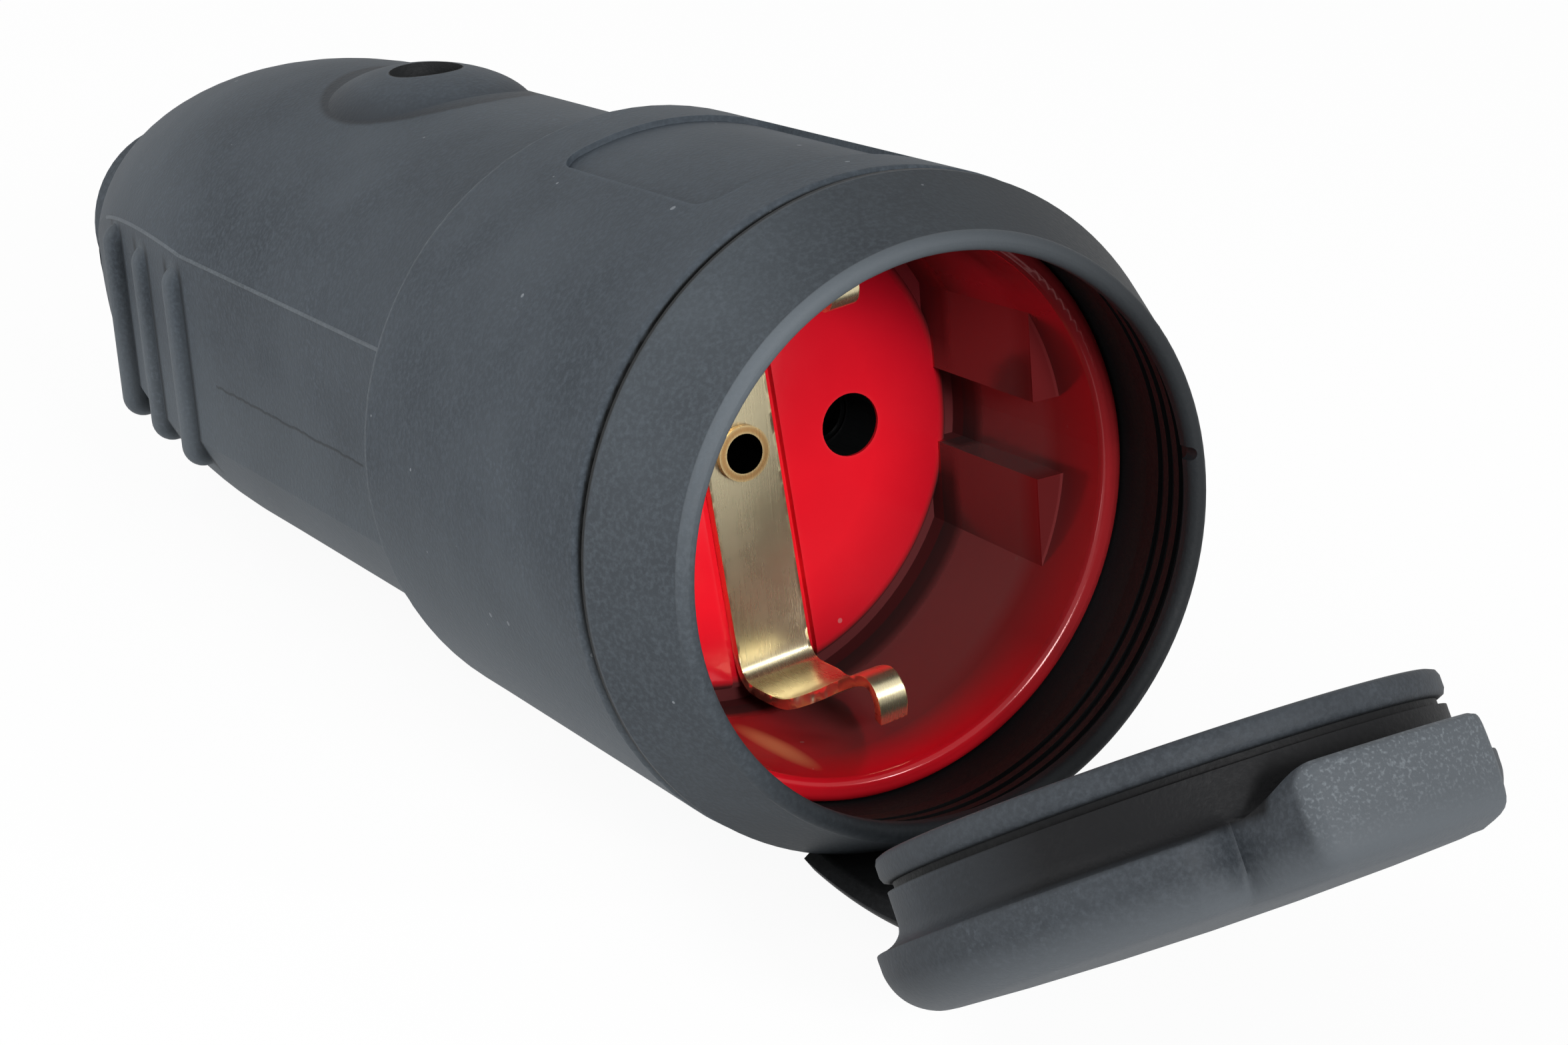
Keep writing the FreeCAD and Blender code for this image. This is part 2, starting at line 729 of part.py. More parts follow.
def build_strap():
    """Thin rubber strap from the collar's foot to the lid's edge, the living hinge."""
    body = new_body("Strap")
    root_y = s("collar_rear_y") - s("collar_band") / 2
    foot = lid_point(-s("cap_r") - s("slip") - s("strap_thick") / 3, s("flare_depth") + s("strap_thick") / 2)
    sections = [
        band_section(body, "StrapRoot", root_y, s("strap_root_half"), s("collar_rear_r") + s("snug"),
                     -s("collar_rear_r") - s("snug")),
        band_section(body, "StrapMiddle", s("hinge_y"), (s("strap_root_half") + s("strap_lid_half")) / 2,
                     s("strap_bend_r"), s("strap_low_z") + s("strap_thick") / 2),
        band_section(body, "StrapFoot", foot[0], s("strap_lid_half"), s("strap_bend_r"),
                     foot[1] + s("strap_thick") / 2),
    ]
    strap = body.newObject("PartDesign::AdditiveLoft", "StrapBand")
    strap.Profile = sections[0]
    strap.Sections = sections[1:]
    doc.recompute()
    return keep(body, "hinge_strap")


def guide_half_height():
    return root(s("recess_r") * s("recess_r") - s("guide_x") * s("guide_x"))


def build_insert():
    """Socket face: round recess with guide blocks left and right, pin holes and earth channel."""
    body = new_body("Insert")
    floor = s("recess_depth")
    back = floor + s("floor_thick")
    groove_floor = floor + s("floor_edge") + s("slip")
    turned(body, "InsertCup", [
        (0, floor),
        (s("floor_r") - s("floor_edge"), floor),
        (s("floor_r"), floor + s("floor_edge"), s("floor_edge")),
        (s("floor_r"), groove_floor),
        (s("recess_floor_r"), groove_floor),
        (s("recess_r"), s("recess_lead")),
        (s("recess_r"), 0),
        (s("recess_r") + s("insert_rim"), -s("insert_rim"), s("insert_rim")),
        (s("insert_r") - s("insert_rim"), -s("insert_rim")),
        (s("insert_r"), 0, s("insert_rim")),
        (s("insert_r"), back),
        (0, back),
    ])
    top = guide_half_height()
    bulge = s("recess_r") + s("insert_rim") / 2

    def draw_guides(sketch):
        for side in (1, -1):
            for level in (1, -1):
                outline(sketch, [
                    (side * s("guide_x"), level * s("guide_slot_half")),
                    (side * bulge, level * s("guide_slot_half")),
                    (side * s("guide_x") + side * s("insert_rim"), level * (top + s("insert_rim"))),
                    (side * s("guide_x"), level * top),
                ])
    along_y(body, "GuideBlocks", "Pad", s("guide_front_y"), groove_floor + s("slip"), draw_guides)

    def draw_pins(sketch):
        for side in (1, -1):
            disc(sketch, side * s("pin_x"), 0, s("pin_hole_r"))
    along_y(body, "PinHoles", "Pocket", floor - s("slip"), back, draw_pins)

    def draw_channel(sketch):
        sketch.setExpression(".AttachmentOffset.Rotation.Angle", s("bracket_skew").text)
        outline(sketch, box_corners(-s("channel_half_width"), -s("clip_foot_z") - s("slip"),
                                    s("channel_half_width"), s("clip_foot_z") + s("slip")))
    along_y(body, "EarthChannel", "Pocket", floor - s("slip"), floor + s("bracket_thick") - s("bracket_proud"),
            draw_channel)
    along_y(body, "EyeletHole", "Pocket", floor - s("slip"), back,
            lambda sketch: disc(sketch, 0, 0, s("eyelet_r") + s("snug")))

    def draw_screw_holes(sketch):
        for side in (1, -1):
            disc(sketch, side * s("carrier_screw_x"), s("carrier_screw_z"), s("carrier_screw_r") + s("snug"))
    along_y(body, "ScrewHoles", "Pocket", back - s("carrier_screw_grip"), back, draw_screw_holes)
    return keep(body, "socket_insert")


def beside(start, end):
    """Unit vector to the left of the way from start to end."""
    across = end[0] - start[0]
    along = end[1] - start[1]
    length = root(across * across + along * along)
    return -along / length, across / length


def folded_strip(path, thick):
    """Closed outline of a strip that follows path on one face and lies to its left by thick."""
    left = [beside(start, end) for start, end in zip(path, path[1:])]
    far = [(path[0][0] + left[0][0] * thick, path[0][1] + left[0][1] * thick)]
    for corner, before, after in zip(path[1:], left, left[1:]):
        spread = thick / (1 + before[0] * after[0] + before[1] * after[1])
        far.append((corner[0] + (before[0] + after[0]) * spread, corner[1] + (before[1] + after[1]) * spread))
    far.append((path[-1][0] + left[-1][0] * thick, path[-1][1] + left[-1][1] * thick))
    return far


def build_bracket():
    """Earth bracket folded from brass strip: band across the floor and a sprung clip at each end."""
    body = new_body("EarthBracket")
    thick = s("bracket_thick")
    front = s("recess_depth") - s("bracket_proud")
    back = front + thick
    near = [
        (s("clip_tip_y"), s("clip_tip_z")),
        (s("clip_crest_y"), s("clip_crest_z")),
        (front, s("clip_foot_z") - thick),
        (front, as_size(0)),
    ]
    far = folded_strip(near, thick)

    def draw_fold(sketch):
        for level in (1, -1):
            outline(sketch, [(y, level * z) for y, z in near + far[::-1]])
    across_x(body, "FoldedStrip", "Pad", 2 * s("bracket_half_width"), draw_fold)

    def bends(*places):
        def chosen(edge):
            box = edge.BoundBox
            if box.YLength > TOLERANCE or box.ZLength > TOLERANCE:
                return False
            return any(math.hypot(box.Center.y - y.value, abs(box.Center.z) - z.value) < TOLERANCE for y, z in places)
        return chosen
    rounded(body, "InnerFolds", s("bracket_bend_r"), bends(near[2], far[1]))
    rounded(body, "OuterFolds", s("bracket_bend_r") + thick, bends(far[2], near[1]))
    reach = s("clip_foot_z") * 2
    along_z(body, "ClipSlots", "Pocket", 0 - reach, reach, lambda sketch: outline(sketch, box_corners(
        -s("clip_slot_half"), s("clip_slot_front_y"), s("clip_slot_half"), s("clip_slot_rear_y"))))
    along_y(body, "RivetHole", "Pocket", front - s("slip"), back + s("slip"),
            lambda sketch: disc(sketch, 0, 0, s("eyelet_r") + s("snug")))
    return keep(body, "earth_bracket", LYING * turn_about_axis(-s("bracket_skew").value))


def carrier_front():
    return s("recess_depth") + s("floor_thick")


def carrier_back():
    return s("shoulder_y")


def build_eyelet():
    """Hollow brass rivet that joins the bracket to the earth terminal behind the carrier."""
    body = new_body("Eyelet")
    front = s("recess_depth") - s("bracket_proud")
    rear = carrier_back() + s("earth_plate")
    flange = s("eyelet_flange")
    turned(body, "EyeletTube", [
        (s("eyelet_bore_r"), front - flange),
        (s("eyelet_flange_r"), front - flange),
        (s("eyelet_flange_r"), front),
        (s("eyelet_r"), front),
        (s("eyelet_r"), rear),
        (s("eyelet_flange_r"), rear),
        (s("eyelet_flange_r"), rear + flange),
        (s("eyelet_bore_r"), rear + flange),
    ])
    return keep(body, "earth_rivet")


def build_carrier():
    """Insulating block behind the insert: disc, two contact towers and the tongue to the cord clamp."""
    body = new_body("Carrier")
    front = carrier_front()
    back = carrier_back()
    along_y(body, "CarrierDisc", "Pad", front, back, lambda sketch: disc(sketch, 0, 0, s("insert_r")))

    def draw_pair(radius):
        def draw(sketch):
            for side in (1, -1):
                disc(sketch, side * s("pin_x"), 0, radius)
        return draw
    along_y(body, "ContactTowers", "Pad", back - s("slip"), s("tower_end_y"), draw_pair(s("tower_r")))
    tongue_top = s("tongue_low_z") + s("tongue_thick")
    along_z(body, "CordTongue", "Pad", s("tongue_low_z"), tongue_top, lambda sketch: outline(
        sketch, box_corners(-s("tongue_half_width"), back - s("slip"), s("tongue_half_width"), s("tongue_end_y"))))
    along_z(body, "ClampHead", "Pad", s("tongue_low_z"), tongue_top, lambda sketch: outline(
        sketch, box_corners(-s("clamp_half_width"), s("clamp_y") - s("clamp_half_length"),
                            s("clamp_half_width"), s("clamp_y") + s("clamp_half_length"))))
    along_y(body, "ContactCells", "Pocket", front - s("slip"), s("tower_end_y") + s("slip"), draw_pair(s("cell_r")))
    along_y(body, "RivetPassage", "Pocket", front - s("slip"), back + s("slip"),
            lambda sketch: disc(sketch, 0, 0, s("eyelet_r") + s("snug")))

    def draw_screws(radius):
        def draw(sketch):
            for side in (1, -1):
                disc(sketch, side * s("carrier_screw_x"), s("carrier_screw_z"), radius)
        return draw
    along_y(body, "ScrewPassages", "Pocket", front - s("slip"), back + s("slip"),
            draw_screws(s("carrier_screw_r") + s("snug")))
    along_y(body, "HeadSinks", "Pocket", back - s("carrier_head"), back + s("slip"),
            draw_screws(s("carrier_head_r") + s("snug")))
    along_z(body, "BushHole", "Pocket", s("tongue_low_z") - s("slip"), tongue_top + s("slip"),
            lambda sketch: disc(sketch, 0, s("boss_y"), s("bush_r")))

    def draw_clamp_holes(sketch):
        for side in (1, -1):
            disc(sketch, side * s("saddle_x"), s("clamp_y"), s("saddle_screw_r") + s("snug"))
    along_z(body, "ClampHoles", "Pocket", s("tongue_low_z") - s("slip"), tongue_top + s("slip"), draw_clamp_holes)
    return keep(body, "contact_carrier")


def build_line_contact(side, label):
    """Split brass sleeve for one pin with its terminal block behind the tower."""
    body = new_body(f"Contact{label.title().replace('_', '')}")
    end = s("tower_end_y")
    along_y(body, "Sleeve", "Pad", carrier_front() + s("slip"), end + s("slip"),
            lambda sketch: disc(sketch, 0, 0, s("sleeve_r")))
    half = s("terminal_half")
    along_y(body, "TerminalBlock", "Pad", end, end + s("terminal_length"),
            lambda sketch: outline(sketch, box_corners(-half, -half, half, half)))
    along_y(body, "SleeveBore", "Pocket", carrier_front(), end, lambda sketch: disc(sketch, 0, 0, s("sleeve_bore_r")))
    along_y(body, "WireHole", "Pocket", end - s("slip"), end + s("terminal_length") + s("slip"),
            lambda sketch: disc(sketch, 0, 0, s("wire_hole_r")))
    along_z(body, "SleeveSlit", "Pocket", -s("cell_r"), s("cell_r"), lambda sketch: outline(sketch, box_corners(
        -s("sleeve_slit_half"), carrier_front(), s("sleeve_slit_half"), end - s("sleeve_r"))))
    middle = end + s("terminal_length") / 2
    along_z(body, "ScrewThread", "Pocket", as_size(0), half + s("slip"),
            lambda sketch: disc(sketch, 0, middle, s("terminal_screw_r") + s("snug")))
    return keep(body, label, LYING * shift(side * s("pin_x"), as_size(0), as_size(0)))


def build_earth_terminal():
    """Brass plate behind the carrier, bent into a block for the earth wire."""
    body = new_body("EarthTerminal")
    back = carrier_back()
    half = s("earth_half_width")
    along_y(body, "EarthPlate", "Pad", back, back + s("earth_plate"), lambda sketch: outline(
        sketch, box_corners(-half, s("earth_low_z"), half, s("eyelet_flange_r") + s("slip"))))
    end = back + s("earth_plate") + s("earth_block_length")
    along_y(body, "EarthBlock", "Pad", back, end, lambda sketch: outline(
        sketch, box_corners(-half, s("earth_low_z"), half, s("earth_block_z"))))
    along_y(body, "EarthRivetHole", "Pocket", back - s("slip"), end,
            lambda sketch: disc(sketch, 0, 0, s("eyelet_r") + s("snug")))
    wire_z = (s("earth_low_z") + s("earth_block_z")) / 2
    along_y(body, "EarthWireHole", "Pocket", back + s("earth_plate"), end + s("slip"),
            lambda sketch: disc(sketch, 0, wire_z, s("wire_hole_r")))
    middle = back + s("earth_plate") + s("earth_block_length") / 2
    along_z(body, "EarthScrewThread", "Pocket", s("earth_low_z") - s("slip"), wire_z,
            lambda sketch: disc(sketch, 0, middle, s("terminal_screw_r") + s("snug")))
    return keep(body, "earth_terminal")


def cylinder(name, radius, height, z):
    rod = doc.addObject("Part::Cylinder", name)
    rod.setExpression("Radius", radius.text)
    rod.setExpression("Height", height.text)
    rod.setExpression(".Placement.Base.z", z.text)
    return rod


def slotted_screw(name, shank_r, shank, head_r, head, seat, turn=FreeCAD.Rotation()):
    """Cheese-head screw: shank down from its seat, slotted head above; the seat sits at (x, y, z)."""
    rod = cylinder(f"{name}Shank", shank_r, shank, -shank)
    cap = cylinder(f"{name}Head", head_r, head, as_size(0))
    whole = doc.addObject("Part::MultiFuse", f"{name}Blank")
    whole.Shapes = [rod, cap]
    slot = doc.addObject("Part::Box", f"{name}Slot")
    slot.setExpression("Length", (4 * head_r).text)
    slot.setExpression("Width", (2 * s("slot_half_width")).text)
    slot.setExpression("Height", (2 * s("slot_depth")).text)
    slot.setExpression(".Placement.Base.x", (-2 * head_r).text)
    slot.setExpression(".Placement.Base.y", (-s("slot_half_width")).text)
    slot.setExpression(".Placement.Base.z", (head - s("slot_depth")).text)
    screw = doc.addObject("Part::Cut", name)
    screw.Base = whole
    screw.Tool = slot
    screw.Placement = FreeCAD.Placement(FreeCAD.Vector(*[as_size(c).value for c in seat]), turn)
    return screw


def screw_group(label, screws):
    group = doc.addObject("Part::Compound", label)
    group.Links = screws
    return keep(group, label)


FROM_BELOW = FreeCAD.Rotation(FreeCAD.Vector(1, 0, 0), 180)
FROM_BEHIND = FreeCAD.Rotation(FreeCAD.Vector(1, 0, 0), -90)


def build_line_terminal_screws():
    middle = s("tower_end_y") + s("terminal_length") / 2
    shank = s("terminal_half") - s("wire_hole_r") / 2
    screw_group("line_terminal_screws", [
        slotted_screw(f"LineScrew{number}", s("terminal_screw_r"), shank, s("terminal_head_r"),
                      s("terminal_head"), (side * s("pin_x"), middle, s("terminal_half")))
        for number, side in enumerate((1, -1))])


def build_earth_terminal_screw():
    middle = carrier_back() + s("earth_plate") + s("earth_block_length") / 2
    shank = (s("earth_block_z") - s("earth_low_z")) / 2 - s("wire_hole_r") / 2
    screw = slotted_screw("EarthScrew", s("terminal_screw_r"), shank, s("terminal_head_r"),
                          s("terminal_head"), (0, middle, s("earth_low_z")), FROM_BELOW)
    keep(screw, "earth_terminal_screw", LYING * screw.Placement)


def build_carrier_screws():
    seat_y = carrier_back() - s("carrier_head")
    shank = s("carrier_thick") - s("carrier_head") + s("carrier_screw_grip") - s("slip")
    screw_group("carrier_screws", [
        slotted_screw(f"CarrierScrew{number}", s("carrier_screw_r"), shank, s("carrier_head_r"),
                      s("carrier_head"), (side * s("carrier_screw_x"), seat_y, s("carrier_screw_z")), FROM_BEHIND)
        for number, side in enumerate((1, -1))])


def build_fixing_screw():
    """Screw in the boss that holds the carrier's tongue to the housing."""
    shank = s("boss_seat_z") - s("tongue_low_z")
    screw = slotted_screw("FixingScrew", s("fixing_screw_r"), shank, s("fixing_head_r"),
                          s("fixing_head"), (0, s("boss_y"), s("boss_seat_z")))
    keep(screw, "fixing_screw", LYING * screw.Placement)


def build_fixing_bush():
    """Threaded brass bush standing in the tongue under the boss."""
    top = s("cavity_r") - s("slip") - (s("cavity_r") - s("cavity_mid_r")) / 2
    body = new_body("FixingBush")
    along_z(body, "BushBody", "Pad", s("tongue_low_z"), top, lambda sketch: disc(sketch, 0, s("boss_y"), s("bush_r")))
    along_z(body, "BushThread", "Pocket", s("tongue_low_z") - s("slip"), top + s("slip"),
            lambda sketch: disc(sketch, 0, s("boss_y"), s("fixing_screw_r") + s("snug")))
    keep(body, "fixing_bush")


def build_saddle():
    """Cord saddle clamped under the tongue."""
    body = new_body("CordSaddle")
    low = s("saddle_low_z")
    high = low + s("saddle_thick")
    start = s("clamp_y") - s("saddle_half_length")
    end = s("clamp_y") + s("saddle_half_length")
    along_y(body, "SaddleBar", "Pad", start, end, lambda sketch: outline(
        sketch, box_corners(-s("clamp_half_width"), low, s("clamp_half_width"), high)))
    hollow_r = s("inlet_r")
    along_y(body, "SaddleHollow", "Pocket", start - s("slip"), end + s("slip"),
            lambda sketch: disc(sketch, 0, high + hollow_r - s("saddle_thick") / 2, hollow_r))

    def draw_holes(sketch):
        for side in (1, -1):
            disc(sketch, side * s("saddle_x"), s("clamp_y"), s("saddle_screw_r") + s("snug"))
    along_z(body, "SaddleHoles", "Pocket", low - s("slip"), high + s("slip"), draw_holes)
    keep(body, "cord_saddle")


def build_saddle_screws():
    shank = s("tongue_low_z") + s("tongue_thick") - s("slip") - s("saddle_low_z")
    screw_group("saddle_screws", [
        slotted_screw(f"SaddleScrew{number}", s("saddle_screw_r"), shank, s("saddle_head_r"),
                      s("saddle_head"), (side * s("saddle_x"), s("clamp_y"), s("saddle_low_z")), FROM_BELOW)
        for number, side in enumerate((1, -1))])


def build_contact_springs():
    """Steel rings that squeeze the split sleeves."""
    start = carrier_front() + s("spring_setback")
    rings = []
    for number, side in enumerate((1, -1)):
        outer = cylinder(f"SpringOuter{number}", s("sleeve_r") + s("snug") + s("spring_thick"),
                         s("spring_length"), as_size(0))
        inner = cylinder(f"SpringInner{number}", s("sleeve_r") + s("snug"), s("spring_length"), as_size(0))
        ring = doc.addObject("Part::Cut", f"SpringRing{number}")
        ring.Base = outer
        ring.Tool = inner
        place = FreeCAD.Vector((side * s("pin_x")).value, start.value, 0)
        ring.Placement = FreeCAD.Placement(place, FROM_BEHIND)
        rings.append(ring)
    screw_group("contact_springs", rings)


build_housing()
build_collar()
build_lid()
build_strap()
build_insert()
build_bracket()
build_eyelet()
build_carrier()
build_line_contact(1, "line_contact_right")
build_line_contact(-1, "line_contact_left")
build_contact_springs()
build_earth_terminal()
build_line_terminal_screws()
build_earth_terminal_screw()
build_carrier_screws()
build_fixing_screw()
build_fixing_bush()
build_saddle()
build_saddle_screws()
doc.recompute()

faulty = [item.Label for item in doc.Objects if {"Invalid", "Error"} & set(item.State)]
empty = [piece.Label for piece in pieces if piece.Shape.isNull() or not piece.Shape.isValid()]
if faulty or empty:
    raise RuntimeError(f"features not built: {faulty}; shapes not valid: {empty}")
os.makedirs("parts", exist_ok=True)
for piece in pieces:
    piece.Shape.exportStep(f"parts/{piece.Label}.step")
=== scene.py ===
"""Rubber inline socket connector with a red plug recess, brass earth clips and a hinged splash lid."""
import math
import random

import bmesh
import bpy
from mathutils import Matrix, Vector


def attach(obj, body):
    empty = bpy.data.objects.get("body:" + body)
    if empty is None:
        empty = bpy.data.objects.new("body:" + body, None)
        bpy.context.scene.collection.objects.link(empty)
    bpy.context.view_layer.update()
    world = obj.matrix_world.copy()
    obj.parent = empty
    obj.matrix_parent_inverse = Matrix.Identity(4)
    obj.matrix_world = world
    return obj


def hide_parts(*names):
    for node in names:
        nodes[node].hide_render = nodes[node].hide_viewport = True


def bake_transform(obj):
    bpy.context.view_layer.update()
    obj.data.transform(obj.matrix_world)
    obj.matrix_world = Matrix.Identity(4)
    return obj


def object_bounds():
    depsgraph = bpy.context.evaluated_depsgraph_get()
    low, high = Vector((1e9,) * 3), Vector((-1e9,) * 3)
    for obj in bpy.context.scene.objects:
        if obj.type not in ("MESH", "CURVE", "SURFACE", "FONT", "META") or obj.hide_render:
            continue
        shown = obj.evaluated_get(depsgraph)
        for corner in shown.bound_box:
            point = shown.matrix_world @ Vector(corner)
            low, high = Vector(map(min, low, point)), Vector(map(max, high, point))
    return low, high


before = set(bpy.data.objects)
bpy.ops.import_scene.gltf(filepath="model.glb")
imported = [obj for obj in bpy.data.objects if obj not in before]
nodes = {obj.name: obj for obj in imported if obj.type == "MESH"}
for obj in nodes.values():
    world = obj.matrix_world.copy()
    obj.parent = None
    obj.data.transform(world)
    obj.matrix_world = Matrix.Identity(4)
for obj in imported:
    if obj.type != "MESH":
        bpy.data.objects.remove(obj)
cad_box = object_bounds()


# Socket insert: a cup of glossy red thermoplastic with a raised floor, guide blocks and pin holes.
# It is injection moulded, so it shows faint flow marks, rubbed edges and a thin skin of dust.
def new_material(name, **constants):
    """Material with a Principled shader whose constant sockets are set by name."""
    material = bpy.data.materials.new(name)
    material.use_nodes = True
    shader = material.node_tree.nodes["Principled BSDF"]
    for socket, amount in constants.items():
        shader.inputs[socket.replace("_", " ")].default_value = amount
    return material, material.node_tree, shader


def node(tree, kind, **inputs):
    """Shader node with its unlinked input values, given by socket name."""
    made = tree.nodes.new(f"ShaderNode{kind}")
    for socket, amount in inputs.items():
        made.inputs[socket.replace("_", " ")].default_value = amount
    return made


def link(tree, source, target):
    tree.links.new(source, target)


def new_group(name, inputs, outputs):
    """Shader node group with float inputs and outputs given as name and starting value."""
    tree = bpy.data.node_groups.new(name, "ShaderNodeTree")
    for title, amount in inputs:
        tree.interface.new_socket(title, in_out="INPUT", socket_type="NodeSocketFloat").default_value = amount
    for title in outputs:
        tree.interface.new_socket(title, in_out="OUTPUT", socket_type="NodeSocketFloat")
    return tree, tree.nodes.new("NodeGroupInput"), tree.nodes.new("NodeGroupOutput")


def place_group(tree, group, **inputs):
    """Group node with its unlinked input values, given by socket name."""
    made = tree.nodes.new("ShaderNodeGroup")
    made.node_tree = group
    for socket, amount in inputs.items():
        made.inputs[socket.replace("_", " ")].default_value = amount
    return made


def math_node(tree, operation, first, second=0.0):
    """Maths on one or two sockets or numbers."""
    made = tree.nodes.new("ShaderNodeMath")
    made.operation = operation
    for slot, value in zip(made.inputs, (first, second)):
        if isinstance(value, (int, float)):
            slot.default_value = value
        else:
            link(tree, value, slot)
    return made.outputs[0]


def product(tree, first, *others):
    """Product of masks and numbers."""
    for other in others:
        first = math_node(tree, "MULTIPLY", first, other)
    return first


def inverse(tree, mask):
    return math_node(tree, "SUBTRACT", 1.0, mask)


def oval(tree, *axes):
    """Distance from a middle, as a share of the half width, over (place, middle, half width) on each axis."""
    total = None
    for place, middle, half in axes:
        share = math_node(tree, "DIVIDE", math_node(tree, "SUBTRACT", place, middle), half)
        square = product(tree, share, share)
        total = square if total is None else math_node(tree, "ADD", total, square)
    return math_node(tree, "SQRT", total)


def colour_mix(tree, share, first, second):
    """Colour between two colours or sockets by a share."""
    made = tree.nodes.new("ShaderNodeMix")
    made.data_type = "RGBA"
    for slot, value in ((made.inputs[0], share), (made.inputs[6], first), (made.inputs[7], second)):
        if isinstance(value, bpy.types.NodeSocket):
            link(tree, value, slot)
        else:
            slot.default_value = value
    return made.outputs[2]


def between(tree, value, low, high):
    """Maps 0..1 onto low..high."""
    made = node(tree, "MapRange", To_Min=low, To_Max=high)
    link(tree, value, made.inputs["Value"])
    return made.outputs["Result"]


def ramp(tree, value, start, end):
    """Rises from 0 at start to 1 at end."""
    made = node(tree, "MapRange", From_Min=start, From_Max=end)
    link(tree, value, made.inputs["Value"])
    return made.outputs["Result"]


def split(tree, place):
    """The three coordinates of a place."""
    made = node(tree, "SeparateXYZ")
    link(tree, place, made.inputs["Vector"])
    return made.outputs["X"], made.outputs["Y"], made.outputs["Z"]


def bump(tree, shader, height, strength, distance):
    """Feeds a height to the shader's normal."""
    made = node(tree, "Bump", Strength=strength, Distance=distance)
    link(tree, height, made.inputs["Height"])
    link(tree, made.outputs["Normal"], shader.inputs["Normal"])


# Fine moulded skin: a soft grain with broader clouding.
skin, skin_in, skin_out = new_group(
    "moulded skin", [("Grain Scale", 3000.0), ("Cloud Scale", 90.0)], ["Grain", "Cloud"])
place = node(skin, "TexCoord")
grain = node(skin, "TexNoise", Detail=3.0, Roughness=0.6)
cloud = node(skin, "TexNoise", Detail=4.0, Roughness=0.55)
for texture, title in ((grain, "Grain"), (cloud, "Cloud")):
    link(skin, place.outputs["Object"], texture.inputs["Vector"])
    link(skin, skin_in.outputs[f"{title} Scale"], texture.inputs["Scale"])
    link(skin, texture.outputs["Fac"], skin_out.inputs[title])

# Loose dust and lint: small round specks on some of the cells of a scatter.
dust, dust_in, dust_out = new_group(
    "dust specks", [("Spread", 260.0), ("Speck", 0.1), ("Share", 0.3)], ["Mask"])
place = node(dust, "TexCoord")
scatter = node(dust, "TexVoronoi")
link(dust, place.outputs["Object"], scatter.inputs["Vector"])
link(dust, dust_in.outputs["Spread"], scatter.inputs["Scale"])
tone = node(dust, "SeparateColor")
link(dust, scatter.outputs["Color"], tone.inputs["Color"])
chosen = math_node(dust, "LESS_THAN", tone.outputs["Red"], dust_in.outputs["Share"])
speck = product(dust, tone.outputs["Green"], dust_in.outputs["Speck"])
inside = math_node(dust, "LESS_THAN", scatter.outputs["Distance"], speck)
link(dust, product(dust, chosen, inside), dust_out.inputs["Mask"])

# Scuffs: patches of broken pale grain where the surface was rubbed.
scuff, scuff_in, scuff_out = new_group("scuffs", [("Patch Scale", 75.0), ("Grain Scale", 2600.0)], ["Mask"])
place = node(scuff, "TexCoord")
levels = []
for title, low, high in (("Patch", 0.56, 0.72), ("Grain", 0.52, 0.68)):
    texture = node(scuff, "TexNoise", Detail=3.0, Roughness=0.6)
    link(scuff, place.outputs["Object"], texture.inputs["Vector"])
    link(scuff, scuff_in.outputs[f"{title} Scale"], texture.inputs["Scale"])
    levels.append(ramp(scuff, texture.outputs["Fac"], low, high))
link(scuff, product(scuff, *levels), scuff_out.inputs["Mask"])

# Rubbed edges: where a rounded-over normal leaves the true one.
wear, wear_in, wear_out = new_group("rubbed edges", [("Radius", 0.0005), ("Gain", 3.0)], ["Mask"])
soft = node(wear, "Bevel")
link(wear, wear_in.outputs["Radius"], soft.inputs["Radius"])
true = node(wear, "NewGeometry")
lean = node(wear, "VectorMath")
lean.operation = "DOT_PRODUCT"
link(wear, soft.outputs["Normal"], lean.inputs[0])
link(wear, true.outputs["Normal"], lean.inputs[1])
gained = product(wear, inverse(wear, lean.outputs["Value"]), wear_in.outputs["Gain"])
link(wear, math_node(wear, "MINIMUM", gained, 1.0), wear_out.inputs["Mask"])

# Zone of a turned piece: between two heights on its axis and inside a radius that widens along it.
# A limit that isn't set lies far outside every piece.
FAR = 1000.0
zone, zone_in, zone_out = new_group(
    "turned zone",
    [("From", -FAR), ("To", FAR), ("Radius", FAR), ("Widening", 0.0), ("Softness", 0.15)], ["Mask"])
zone.interface.new_socket("Place", in_out="INPUT", socket_type="NodeSocketVector")
x, y, z = split(zone, zone_in.outputs["Place"])
past = math_node(zone, "SUBTRACT", y, zone_in.outputs["From"])
limit = math_node(zone, "ADD", zone_in.outputs["Radius"], product(zone, past, zone_in.outputs["Widening"]))
rooms = (past, math_node(zone, "SUBTRACT", zone_in.outputs["To"], y),
         math_node(zone, "SUBTRACT", limit, oval(zone, (x, 0.0, 1.0), (z, 0.0, 1.0))))
shares = []
for room in rooms:
    share = math_node(zone, "ADD", math_node(zone, "DIVIDE", room, zone_in.outputs["Softness"]), 0.5)
    shares.append(math_node(zone, "MAXIMUM", math_node(zone, "MINIMUM", share, 1.0), 0.0))
link(zone, product(zone, *shares), zone_out.inputs["Mask"])


def axis_place(tree, turn, offset=(0.0, 0.0, 0.0)):
    """Place in millimetres on a piece's own axis, from the lying frame."""
    place = node(tree, "TexCoord")
    straight = node(tree, "Mapping", Scale=(1 / MM, 1 / MM, 1 / MM), Rotation=(turn, 0.0, 0.0),
                    Location=offset)
    link(tree, place.outputs["Object"], straight.inputs["Vector"])
    return straight.outputs["Vector"]


def in_zone(tree, place, **limits):
    """Mask of a turned zone."""
    made = place_group(tree, zone, **limits)
    link(tree, place, made.inputs["Place"])
    return made.outputs["Mask"]


